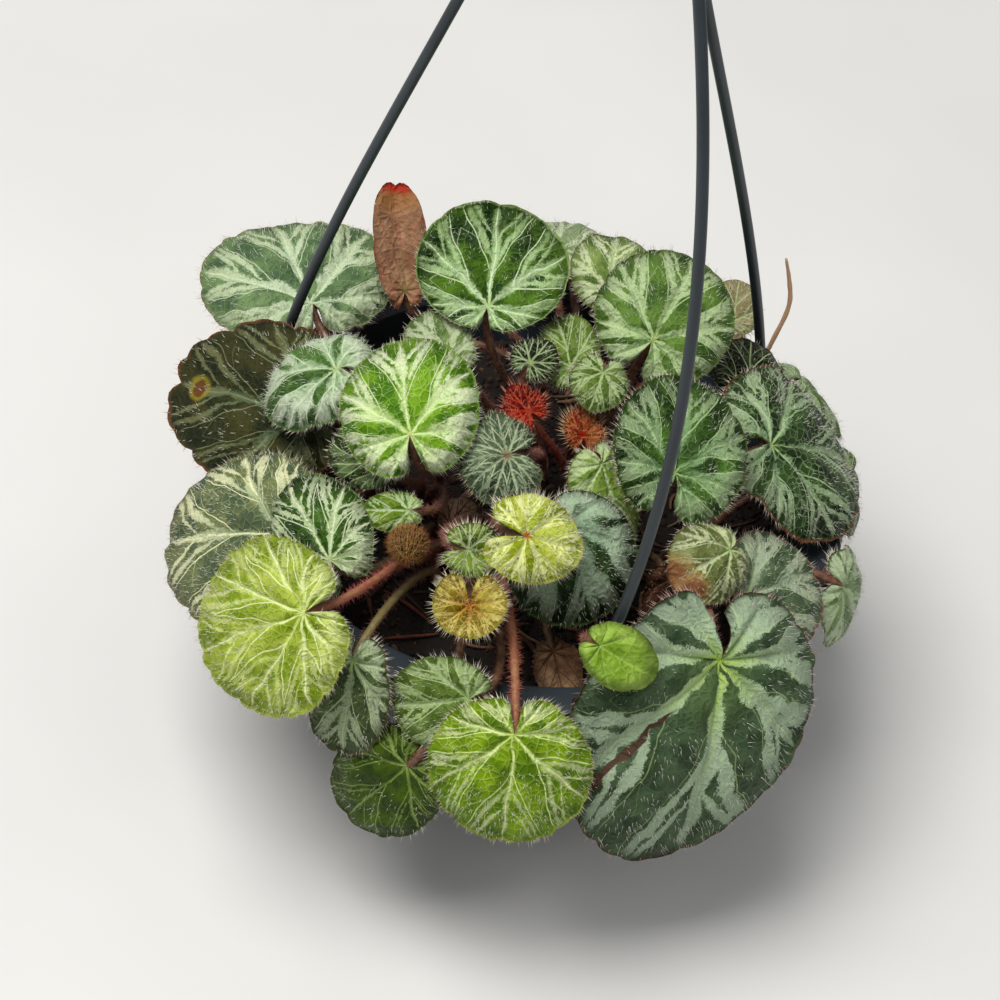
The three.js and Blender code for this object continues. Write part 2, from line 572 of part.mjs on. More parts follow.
function makePot(material, armHoles) {
  let pot = potShell();
  const lip = RIM_RADIUS - WALL;
  for (let i = 0; i < armSides.length; i += 1) {
    const lug = new THREE.BoxGeometry(lip - outsideRadius + 0.5, LUG_WIDTH, LUG_THICK);
    lug.translate((lip + outsideRadius) / 2, 0, POT_HEIGHT - LUG_THICK / 2 - 0.5);
    lug.rotateZ(armAngle(i));
    pot = pot.add(toSolid(lug));
  }
  for (const hole of armHoles) pot = pot.subtract(hole);
  for (let i = 0; i < DRAIN_COUNT; i += 1) {
    const angle = (i / DRAIN_COUNT) * 2 * Math.PI;
    const x = DRAIN_RING * Math.cos(angle);
    const y = DRAIN_RING * Math.sin(angle);
    pot = pot.subtract(uprightCylinder(x, y, -1, POT_FLOOR + 1, DRAIN_RADIUS, DRAIN_SIDES));
  }
  return namedMesh('pot', pot, material);
}

// The soil fills the pot and has a plain upright hole for each stem.
function makeSoil(material, feet) {
  const low = BASE_RADIUS - WALL - SOIL_GAP;
  const slope = (insideRadius - NECK_STEP_IN - BASE_RADIUS + WALL) / (neckHeight - POT_FLOOR);
  const radiusAt = (height) => low + slope * (height - POT_FLOOR);
  const floor = POT_FLOOR + SOIL_GAP;
  const profile = [[0, floor], [radiusAt(floor), floor], [radiusAt(SOIL_EDGE_HEIGHT), SOIL_EDGE_HEIGHT]];
  for (const radius of SOIL_RINGS) profile.push([radius, soilHeight(radius, 0)]);
  let soil = lathe(profile, SOIL_SIDES);
  for (const [x, y] of feet) {
    const ground = soilHeight(x, y);
    soil = soil.subtract(uprightCylinder(
      x, y, ground - STEM_HOLE_DEPTH, ground + 4, STEM_HOLE_RADIUS, STEM_HOLE_SIDES));
  }
  return namedMesh('soil', soil, material);
}

const armSides = ['left', 'front', 'right'];
const plastic = new THREE.MeshStandardMaterial({ color: '#3b4044', roughness: 0.45 });
const compost = new THREE.MeshStandardMaterial({ color: '#2a211b', roughness: 0.95 });

const armHoles = armSides.map((side, i) => armClearance(side, i));

const plant = new THREE.Group();
plant.add(makePot(plastic, armHoles));
plant.add(makeSoil(compost, [...[...LEAVES, BUD].map(stemFoot), RUNNER_FOOT]));
armSides.forEach((side, i) => plant.add(makeArm(side, i, plastic)));
plant.add(makeHook(plastic, armHoles));
LEAVES.forEach((leaf) => plant.add(makeLeaf(leaf)));
plant.add(makeBud());
plant.add(makeRunner());

export default plant;
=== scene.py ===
"""Looks of a potted strawberry begonia in its hanging pot.

Driving dimensions are in millimetres and become metres where a mesh is made.
The leaves, stems, pot and hanger follow the same formulas as the solids that
they stand for, only finer.
"""
import math

import bpy
import numpy as np
from mathutils import Matrix

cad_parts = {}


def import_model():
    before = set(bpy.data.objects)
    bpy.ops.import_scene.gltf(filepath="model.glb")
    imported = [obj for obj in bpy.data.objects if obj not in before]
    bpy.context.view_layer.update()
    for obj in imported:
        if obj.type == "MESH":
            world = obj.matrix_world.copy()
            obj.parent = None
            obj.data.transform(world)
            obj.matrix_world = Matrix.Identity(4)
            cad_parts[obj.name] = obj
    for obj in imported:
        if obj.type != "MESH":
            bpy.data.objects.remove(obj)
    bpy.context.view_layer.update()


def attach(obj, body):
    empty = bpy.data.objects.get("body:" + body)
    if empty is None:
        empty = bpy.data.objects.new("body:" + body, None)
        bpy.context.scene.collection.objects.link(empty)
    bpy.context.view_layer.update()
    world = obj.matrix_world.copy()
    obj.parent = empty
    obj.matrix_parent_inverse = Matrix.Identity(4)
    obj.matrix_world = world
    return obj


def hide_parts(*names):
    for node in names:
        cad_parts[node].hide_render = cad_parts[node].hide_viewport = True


MM = 0.001

# Camera: where it looks, from how far, and where the rim's centre falls in the picture
IMAGE_SIZE = 1000
CAMERA_ELEVATION = 45.0
CAMERA_ROLL = 7.0
CAMERA_DISTANCE = 800.0
CAMERA_FOCUS_PIXELS = 2960.0
RIM_CENTRE_PIXEL = (538.0, 477.5)
SENSOR_WIDTH = 36
NEAREST_SEEN = 0.01

# Light, in metres and watts
SKY_STRENGTH = 0.30
LIGHTS = {
    "key": dict(place=(-0.5, -0.15, 1.6), size=1.0, power=27, colour=(1.0, 0.98, 0.95)),
    "fill": dict(place=(0.9, -0.9, 1.0), size=1.4, power=2, colour=(0.95, 0.98, 1.0)),
}
LIGHT_AIM = (0, 0, 0.1)
FLOOR_SIZE = 8
FLOOR_DROP = 0.0003

# Pot and soil
POT_HEIGHT = 80.0
RIM_RADIUS = 83.5
BASE_RADIUS = 50.0
WALL = 1.8
RIM_FLANGE_IN = 75.5
RIM_FLANGE_THICK = 2.2
RIM_LIP_DROP = 3.5
NECK_BELOW_RIM = 14.0
NECK_STEP_HIGH = 5.0
NECK_STEP_IN = 2.0
POT_FLOOR = 2.5
POT_SIDES = 144
POT_ROUNDING = 1.0
BASE_CHAMFER = 2
FLANGE_STEP = 1
SHARP_ANGLE = 35
DRAIN_COUNT = 6
DRAIN_RING = 33.0
DRAIN_RADIUS = 4.5
DRAIN_SIDES = 32
SOIL_EDGE_HEIGHT = POT_HEIGHT - 16
SOIL_CROWN_HEIGHT = POT_HEIGHT - 9
SOIL_GAP = 0.4
STEM_HOLE_DEPTH = 8.0
SOIL_SIDES = 220
SOIL_RINGS = 70
SOIL_SEED = 5
SOIL_TONE = (26, 18, 12)
SOIL_BUMP_SEED = 11
SOIL_BUMP_WAVES = 24
SOIL_BUMP_SIZE = 5
SOIL_BUMP_HEIGHT = 0.35
SOIL_BUMP_SINK = 0.3
CRUMB_COUNT = 2200
CRUMB_MARGIN = 1.5
CRUMB_SINK = 0.1
CRUMB_ROUGHNESS = (0.35, 0.6)
CRUMB_STRETCH = (0.6, 1.5)
CRUMB_SIZES = [0.9, 1.3, 2.0, 2.8]
CRUMB_SIZE_ODDS = [0.45, 0.3, 0.18, 0.07]
CRUMB_TONES = [(22, 15, 10), (40, 28, 20), (66, 46, 32), (98, 72, 52)]
CRUMB_TONE_ODDS = [0.4, 0.33, 0.2, 0.07]
LITTER_COUNT = 130
LITTER_MARGIN = 12
LITTER_HALF_LENGTHS = (2.5, 9)
LITTER_BEND = 3
LITTER_RADII = (0.3, 0.75)
LITTER_LIFT = 1.2
LITTER_SIDES = 7
LITTER_STEPS = 9
LITTER_TAPER = 0.45
LITTER_TONES = [(104, 74, 52), (84, 56, 42), (132, 102, 74), (70, 50, 38), (120, 66, 52)]
FIT_GAP = 0.35

# Hanger
ARM_RING = 80.0
ARM_RADIUS = 1.45
ARM_FIRST_ANGLE = 162.0
HANGER_RISE = 258.0
HUB_RING = 3.2
HUB_RADIUS = 9.0
HUB_BELOW = 9.0
HUB_ABOVE = 6.0
HUB_CHAMFER = 2.0
HUB_SHOULDER = 5.0
LUG_WIDTH = 12.0
LUG_THICK = 4.5
LUG_SINK = 0.5
KNOB_RADIUS = 2.9
KNOB_HEIGHT = 3.5
KNOB_TAPER = 0.6
KNOB_DROP = 8.0
KNOB_ROUNDING = 0.6
HUB_ROUNDING = 1.2
ROD_SIDES = 20
KNOB_SIDES = 28
HUB_SIDES = 64
ARM_STEPS = 90
ARM_FOOT_STEPS = 8
HOLE_STEPS = 20
HOOK_RADIUS = 15.0
HOOK_WIRE = 2.3
HOOK_NECK = 10.0
HOOK_ARC = 200.0
HOOK_ARC_STEPS = 60
HOOK_NECK_STEPS = 24
HOOK_ROOT = 3
HOOK_NECK_FOOT = 0.4
HOOK_TIP = (0.97, 0.85, 0.6)
ARM_BOWS = {
    "left": ((9, -11), (8, 1)),
    "front": ((19, 44), (25, 16)),
    "right": ((6, -12), (-2, 2)),
}

# Leaves
BLADE_THICK = 1.0
SMALL_BLADE_THICK = 0.85
STEM_RADIUS = 1.15
WIDEST = math.pi - math.radians(13)
LOBE_ROUNDING = math.radians(34)
LOBE_DEPTH = 0.42
SCALLOP_CUT = 0.06
SCALLOP_MEAN = 0.35
OUTLINE_WOBBLE = 0.012
UNDULATION = 0.55
TOOTH_CUT = 0.02
TEETH_PER_SCALLOP = 3
SCALLOP_FULLNESS = 0.6
CUT_FROM = 0.72
EDGE_THINNING = 0.72
FOLD_SOFTNESS = 0.15
MARGIN_WAVES = 4
PLEAT_FULLNESS = 0.6
PLEAT_SINK = 0.6
FULL_RELIEF_HALF_WIDTH = 16
ROLL_FROM = 0.7
CREASE_EDGE = (-0.03, 0.05)
CREASE_REACH = (0.25, 0.6)
CREASE_RECOVERY = (0.05, 0.7)

# Leaves longer than the first length, longer than the second, and the rest
BIG_LEAF = 30
SMALL_LEAF = 18
SCALLOPS = (12, 10, 7)
RINGS = (22, 16, 11)

# Blades and stems: how finely they are drawn
SPOKES_PER_SCALLOP = 12
STEM_STEPS = 34
FOOT_STEPS = 4
RING_CROWDING = 0.9
NEAREST_STEM = 1e-3
SEED_STEP = 7.3
FIRST_SEED = 100

# Hairs: their radii, lengths as shares of the skin's, shades, and how they lean
HAIR_RADIUS = 0.075
HAIR_SHADES = (0.75, 1.1)
HAIR_LENGTHS = (0.55, 1.2)
HAIR_LEAN = 0.35
HAIR_DISORDER = 0.28
HAIR_TRIES = 3
HAIR_UP_TO = 0.97
ROOT_SINK = 0.9
NUDGE = 0.01
FRINGE_RADIUS = 0.1
FRINGE_LENGTHS = (0.5, 1.25)
FRINGE_FROM = 0.97
FRINGE_LEAN = (0.15, 0.3)
FRINGE_DISORDER = 0.1

# How much of its oval a blade fills, and how long its outline is for its size
OVAL_FILL = 0.78
OUTLINE_PER_SIZE = 2.9

# Stems and their hairs
STEM_SIDES = 10
STEM_TAPER = 0.92
STEM_SHADE = 0.8
STEM_SHADE_RISE = 0.3
STEM_HAIR_ROOT = 0.93
STEM_HAIR_LEAN = (0.1, 0.3)
STEM_HAIR_DISORDER = 0.12

# Veins: where they fork, as a share of the way out, and how far the branches lean
FORK_AT = 0.30
FORK_LEAN = 0.50
SILVER_FORK_AT = 0.40
SECOND_FORK_AT = 0.60
SECOND_FORK_LEAN = 0.60
TWIG_AT = 0.62
TWIG_LEAN = 0.50
VEIN_WIDTH = 0.38
VEIN_NARROWING = 0.22
FORK_WIDTH = 0.24
FORK_NARROWING = 0.10
VEIN_EDGES = (1.3, 0.4)
FINE_VEIN_WIDTHS = (0.17, 0.05)

# The dried line along a crease, in radians, and where it starts on the way out
CREASE_WIDTH = 0.014
CREASE_SPREAD = 0.05
CREASE_PATCHES = 0.45
CREASE_SOFTNESS = (1.2, 0.8)
CREASE_START = (0.28, 0.36)

# Silver along the three orders of veins: where it swells most, over what span and
# to what least share of its width, and how wide it is beside the main veins' silver
SILVER_SWELLS = ((0.52, 0.52, 0.12), (0.72, 0.34, 0.03), (0.84, 0.22, 0.02))
SILVER_SHARES = (1, 0.7, 0.5)

# Leaf patterns. A scale is in shapes per millimetre, and a pair of numbers is where
# a pattern starts and is full, or the other way round. A least is its share elsewhere.
WARP_SCALE = 0.07
WARP_REACH = 0.24
CELL_SCALE = 1.0
CELL_PULL = 0.5
PATCH_SCALE = 0.16
GRAIN_SCALE = 2.4
GRAIN_IN_SILVER = 0.9
GRAIN_EDGES = (0.75, 0.4)
GRAIN_LEAST = 0.7
SILVER_END = (1.0, 0.92)
SILVER_CHANGE = (0.25, 0.9)
NET_SCALE = 0.46
NET_WIDTHS = (0.08, 0.01)
NET_PATCHES = (0.3, 0.65)
NET_LEAST = 0.2
CLOUD_SCALE = 0.14
CLOUD_EDGES = (0.36, 0.66)
# Painted shade that darkens the margin: its tone as a share of the dark cell colour, where it reaches, in
# what patches, and its least share there
PAINTED_SHADE_TONE = 0.45
PAINTED_SHADE_REACH = (0.55, 1.02)
PAINTED_SHADE_PATCHES = (0.2, 0.6)
PAINTED_SHADE_LEAST = 0.5
VEIN_END = (1.0, 0.88)
FINE_VEIN_AMOUNT = 0.45
HEART_CORE = 0.15
HEART_IN_SILVER = 0.45
HEART_LEAST = 0.1
RIM_UNEVENNESS = 0.06
RIM_EDGES = (0.965, 0.995)
SPECK_SCALE = 0.30
SPECK_EDGES = (0.14, 0.08)
SPECK_CHANCE = (0.76, 0.80)
SPECK_TONE = (46, 34, 22)
HALO_EDGES = (1.7, 1.1)
HALO_AMOUNT = 0.6
BLEMISH_EDGES = (1.05, 0.75)
BLEMISH_AMOUNT = 0.95
FACE_EDGES = (0.6, 0.4)
UNDERSIDE_AMOUNT = 0.85
RELIEF_EDGES = (0.0, 0.3)
RELIEF_NET = 0.4
RELIEF_GRAIN = 0.4
RELIEF_DEPTH = 0.0006
LEAF_SPECULAR = 0.14
LEAF_SATURATION = 1.06
LEAF_BRIGHTNESS = 1.04

# Other colours, given as 0 to 255 values
STEM_BLOTCH_TONE = (176, 150, 96)
SOIL_GRAIN_TONE = (50, 36, 24)
PLASTIC_TONES = ((33, 42, 48), (42, 52, 59))
SCUFF_TONE = (78, 84, 88)
FLOOR_TONES = ((222, 222, 220), (228, 228, 226))

CROWNS = {
    "front": (-12, -22),
    "middle": (4, 10),
    "right": (30, -12),
    "left": (-32, 6),
    "back": (10, 42),
}

PLAIN_LEAF = dict(back=0.3, cup=-0.1, fold=0, droop=0.1, wave=0.8, skew=0, arrive=(0.75, 0.65), sweep=0.35)
LEAVES = []


def leaf_row(name, look, crown, foot, at, face, turn, size, **shape):
    LEAVES.append(dict(PLAIN_LEAF, name=name, look=look, crown=crown, foot=foot, at=at, face=face,
                       turn=turn, size=size, **shape))


# The big outer leaves, which hang over the rim
leaf_row("leaf_front_big", "dark", "right", (-40, 17), (50, -70, 13), (-62, 58), -14, (55, 67),
         back=0.36, cup=-0.05, fold=0.06, droop=0.2, wave=1.4, skew=-0.36)
leaf_row("leaf_front_lime", "lime", "front", (-75, 14), (1, -98, 8), (-88, 60), 0, (31, 42),
         fold=-0.06)
leaf_row("leaf_front_fold", "green", "front", (-110, 11), (-11, -86, 5), (-112, 50), -60, (22, 24),
         cup=-0.08, fold=0.22)
leaf_row("leaf_low_hanging", "green", "front", (-100, 19), (-24, -91, -17), (-112, 74), -30, (31, 30),
         cup=-0.06, wave=0.6, arrive=(1, -0.3), sweep=0.6)
leaf_row("leaf_low_silver", "dark", "front", (-130, 17), (-41, -77, 4), (-114, 64), 8, (27, 24),
         cup=-0.05, fold=0.2, wave=0.6)
leaf_row("leaf_left_lime", "lime", "front", (-155, 14), (-54, -75, 17), (-122, 50), -43, (33, 48),
         cup=-0.06, fold=-0.05, wave=1)
leaf_row("leaf_left_stripe", "green", "front", (165, 14), (-50, -56, 17), (-125, 38), -112, (27, 29),
         cup=-0.18, fold=-0.05, wave=0.5)
leaf_row("leaf_left_grey", "grey", "left", (-140, 15), (-65, -44, 12), (-150, 48), -43, (46, 49),
         fold=0.05, wave=1.2)
leaf_row("leaf_left_olive", "olive", "left", (175, 15), (-62, -7, 20), (-132, 38), -68, (46, 47),
         cup=0.04, fold=0.05, wave=1.6)
leaf_row("leaf_back_left", "grey", "left", (130, 16), (-68, 44, 13), (-90, 8), -154, (37, 56),
         cup=-0.06, wave=1)
leaf_row("leaf_right_big", "dark", "right", (5, 15), (59, -4, 26), (-12, 38), 40, (41, 51),
         back=0.35, cup=-0.12, fold=0.05, wave=1.4)
leaf_row("leaf_right_back", "dark", "right", (-28, 24), (56, -46, 12), (-35, 32), 70, (27, 34),
         wave=1, back=0.14)
leaf_row("leaf_right_low", "green", "right", (-15, 20), (82, -28, 1), (-20, 76), 30, (26, 28),
         cup=-0.08, arrive=(1, -0.1))
leaf_row("leaf_right_edge", "green", "right", (25, 20), (84.5, 15, -1), (-5, 72), 20, (22, 24),
         cup=-0.08, arrive=(1, -0.1))

# The upper leaves round the hollow
leaf_row("leaf_top_cup", "green", "middle", (125, 8), (-19, 15, 45), (-90, 32), 180, (30, 41),
         back=0.25, cup=0.16, droop=0, wave=0.5)
leaf_row("leaf_top_right", "green", "middle", (0, 10), (25, 12, 43), (-75, 33), 145, (29, 38),
         back=0.38, cup=-0.12, fold=0.05, wave=1.2)
leaf_row("leaf_middle_bright", "green", "left", (-50, 9), (-34, -33, 42), (-110, 32), -148, (29, 37),
         back=0.4, cup=-0.16, fold=-0.05)
leaf_row("leaf_middle_under", "green", "left", (-85, 12), (-40, -31, 29), (-120, 38), -110, (18, 24),
         fold=0.1)
leaf_row("leaf_left_convex", "green", "left", (-160, 9), (-55, -9, 38.5), (-165, 32), -30, (27, 32),
         cup=-0.2, wave=0.5)
leaf_row("leaf_fold_right", "green", "right", (110, 9), (34, -29, 36), (-60, 34), 150, (27, 38),
         back=0.5, fold=0.3, wave=1)
leaf_row("leaf_silver_dome", "dark", "right", (-130, 8), (7, -45, 29), (-68, 42), 14, (27, 37),
         cup=-0.18, wave=0.4)
leaf_row("leaf_striped_fold", "green", "right", (170, 9), (15, -25, 32), (-50, 44), -5, (25, 20),
         back=0.25, fold=-0.3, wave=0.5)
leaf_row("leaf_small_dark", "dark", "middle", (-140, 9), (-9, -31, 37), (-80, 24), -80, (13, 26),
         back=0.75, droop=0)
leaf_row("leaf_right_convex", "young", "right", (-60, 9), (50, -42, 24), (-52, 32), -83, (18, 22),
         cup=-0.2, wave=0.6)
leaf_row("leaf_back_bright", "green", "back", (80, 9), (14, 54, 22), (-80, 12), 170, (24, 24),
         cup=-0.14, fold=0.1)
leaf_row("leaf_back_edge", "grey", "back", (120, 9), (-2, 68, 22), (90, 8), 0, (22, 32))
leaf_row("leaf_back_fold", "red", "back", (160, 12), (-43, 51, 16), (-80, 35), -176, (32, 16),
         back=0.2, cup=0.1, fold=0.5, droop=0, wave=1)
leaf_row("leaf_back_olive", "olive", "back", (10, 14), (49, 58, 13), (-60, 20), 145, (16, 16),
         fold=0.1)
leaf_row("leaf_right_shade", "olive", "middle", (35, 14), (53, 18, 24), (-60, 15), 148, (19, 20),
         fold=0.1)

# Leaves low on the far side
leaf_row("leaf_rear_middle", "dark", "back", (95, 17), (2, 86, 5), (90, 62), 0, (32, 38),
         fold=0.05, wave=1.2)
leaf_row("leaf_rear_left", "grey", "back", (140, 20), (-43, 77, 3), (120, 60), 0, (30, 36),
         fold=0.05, wave=1.2)
leaf_row("leaf_rear_right", "dark", "back", (45, 19), (38, 78, 5), (62, 62), 0, (30, 36),
         fold=0.05, wave=1.2)
leaf_row("leaf_rear_side", "green", "back", (-28, 36), (69, 38, 11), (30, 50), 0, (23, 27),
         fold=0.05, wave=1)

# Young leaves in and round the hollow
leaf_row("young_yellow", "young", "front", (15, 9), (-2, -58, 36), (-80, 38), 75, (15, 23),
         back=0.8, droop=0)
leaf_row("young_cup", "young", "front", (-40, 5), (-14, -70, 22), (-85, 30), 0, (9.5, 19),
         back=0.9, cup=0.3, droop=0, wave=0.3)
leaf_row("young_curl", "young", "front", (60, 5), (-16, -60, 31), (-80, 40), 80, (10, 14),
         back=0.7, cup=-0.25, fold=0.5, droop=0, wave=0.3)
leaf_row("young_glossy", "green", "left", (-75, 14), (-32, -44, 26), (-110, 38), -69, (13, 11),
         cup=-0.2, droop=0, wave=0.2)
leaf_row("young_speckled", "young", "middle", (175, 13), (-27, 3, 37), (-105, 26), -118, (16, 19),
         back=0.4, fold=0.1, droop=0)
leaf_row("young_dark", "dark", "middle", (-130, 4), (-6, 2.5, 38.5), (-90, 24), 150, (9, 13),
         back=0.5, cup=-0.15, droop=0, wave=0.4)
leaf_row("young_pointed", "green", "middle", (60, 8), (5, 6, 36), (-120, 32), -132, (16, 18),
         back=0.4, cup=-0.05, fold=0.2, droop=0)
leaf_row("young_low", "green", "middle", (-35, 8), (13, 1, 40), (-80, 28), -20, (11, 16),
         back=0.5, fold=0.1, droop=0)
leaf_row("young_green_curl", "lime", "front", (-48, 47), (19, -83, 27), (-80, 46), 60, (17, 16),
         cup=0.05, fold=0.15, wave=1, arrive=(0.4, 0.9), sweep=0.3)
leaf_row("young_red", "red", "middle", (-60, 10), (-5, -5, 28.5), (-80, 30), -140, (8, 11),
         back=0.6, cup=0.3, fold=0.2, droop=0, wave=0.6)
leaf_row("young_red_right", "red", "middle", (-35, 15), (10, -10, 27), (-70, 30), 170, (8, 11),
         back=0.6, cup=0.25, fold=0.1, droop=0, wave=0.6)
leaf_row("dead_right", "dead", "right", (-100, 8), (36, -41, 9), (-60, 30), -30, (13, 13),
         cup=0.2, fold=0.3, wave=2)
leaf_row("dead_middle", "dead", "left", (-20, 18), (-22, -26, 5), (-60, 30), 120, (9, 9),
         cup=0.2, fold=0.3, wave=1.6)
leaf_row("dead_front", "dead", "front", (-35, 18), (9, -58, -5), (-80, 24), 10, (15, 13),
         cup=0.1, fold=0.3, wave=1.2)

BUD = dict(PLAIN_LEAF, name="young_bud", look="bud", crown="front", foot=(-178, 6), at=(-31, -54, 24),
           face=(-90, 20), turn=180, arrive=(0.2, 1), sweep=0.35, size=(10, 10))
BUD_RADIUS = 5.0
BUD_FLATTENING = 0.9
BUD_ROWS = 25
BUD_SIDES = 40
BUD_RIPPLES = 5
BUD_RIPPLE = 0.03
BUD_TWIST = 0.5
BUD_DENT = 0.05
BUD_DENT_HEIGHTS = (2, 4.5)
BUD_PATTERN = 2
BUD_SHARE = 0.6
BUD_HAIRS = 900
BUD_HAIR_LENGTHS = (0.9, 2.1)
BUD_HAIR_RADIUS = 0.08
BUD_HAIR_ROOT = 0.97
BUD_HAIR_DISORDER = 0.2
RUNNER_RADIUS = 0.8
RUNNER_TONE = (186, 146, 116)
RUNNER_STEPS = 10
RUNNER_FOOT_STEPS = 3
RUNNER_SMOOTHING = 6
RUNNER_SLIMNESS = 0.82
RUNNER_KNOT = 0.05
RUNNER_KNOT_TURN = 1.3
RUNNER_TIP = 12
RUNNER_TAPER = 0.55
RUNNER_FOOT = (52, 34)
RUNNER_ROUTE = [(58, 38, 20), (62, 41, 35), (61, 43, 43), (59, 44, 50)]

# Skins. Colours are given as 0 to 255 values, and lengths are in millimetres.
# veins: how many main ones. pleat: how high the blade puffs between them.
# cell: the green between the veins, dark and light. silver: the zones along the veins,
# near the stem and near the margin. silver_width: their width as a share of the half
# blade, soft: how blurred they are, patch: how blotchy.
# vein, net, rim, under: the colours of lines, margin and lower face.
# heart: the colour round the stem, with its reach. shade: how strongly the margin is darkened with painted
# shade.
# blemish: dried spots, each along, across, radius, in blemish_tone with a halo.
# specks: how strong the dark specks are. crease: a dried fold's angle and step.
# scallop, tooth: how deep the margin is cut. roll: how far it turns down.
# gloss: the roughness, so less of it shines more.
# hair: per square millimetre, and length. hair_from: how far out the hairs start.
# fringe, stem_hair: the hairs of the margin and of the stem, per millimetre, and length.
PLAIN_SKIN = dict(
    veins=7, cell=((52, 70, 32), (88, 112, 60)), silver=((140, 160, 120), (160, 178, 140)),
    silver_width=0.09, silver_amount=0.9, vein=(176, 194, 148), vein_amount=0.75, net=(130, 150, 98),
    net_amount=0.3, rim=(104, 78, 52), rim_amount=0.45, heart=((150, 176, 90), 0.16), heart_amount=0.5,
    under=(128, 92, 76), specks=0.0, blemish=(), blemish_tone=(92, 58, 34), pleat=0.11, scallop=0.35,
    tooth=0.5, hair=(0.32, 1.8), hair_from=0.3, hair_tone=(226, 226, 210), fringe=(1.7, 2.4),
    fringe_tone=(226, 218, 202), stem=(98, 58, 46), stem_hair=(10.0, 1.5), stem_hair_tone=(158, 98, 90),
    gloss=0.42, crease=(), roll=0.5, soft=0.34, patch=1.8, shade=0.5, halo=(150, 136, 52))
YOUNG = dict(
    specks=0.7, hair=(0.9, 2.1), hair_from=0.05, fringe=(3.4, 2.8), pleat=0.16, hair_tone=(240, 236, 214),
    fringe_tone=(232, 220, 192), net_amount=0.4, gloss=0.5, shade=0.3, soft=0.5)
LIME = dict(
    veins=9, cell=((92, 124, 8), (146, 172, 48)), silver=((200, 218, 116), (222, 234, 150)),
    silver_width=0.035, silver_amount=0.5, vein=(222, 236, 164), net=(190, 208, 112), net_amount=0.45,
    rim=(176, 176, 96), heart=((186, 206, 96), 0.22), specks=0.55, pleat=0.08, scallop=0.3, tooth=0.9,
    hair=(0.4, 1.7), fringe=(2.4, 1.9), fringe_tone=(232, 226, 200), under=(150, 156, 90), soft=0.6,
    shade=0.35)
DEAD = dict(
    cell=((104, 76, 56), (166, 134, 104)), silver=((120, 92, 70), (120, 92, 70)), silver_width=0.03,
    vein=(78, 54, 40), net=(72, 50, 38), rim=(52, 34, 26), heart_amount=0, pleat=0.12, scallop=0.8,
    hair=(0.15, 1.2), fringe=(0.8, 1.2), hair_tone=(180, 150, 120), fringe_tone=(176, 144, 116),
    stem=(84, 56, 42), stem_hair=(2.5, 1.1), stem_hair_tone=(150, 112, 86), under=(96, 70, 54), gloss=0.75)
REAR = dict(scallop=0.6)
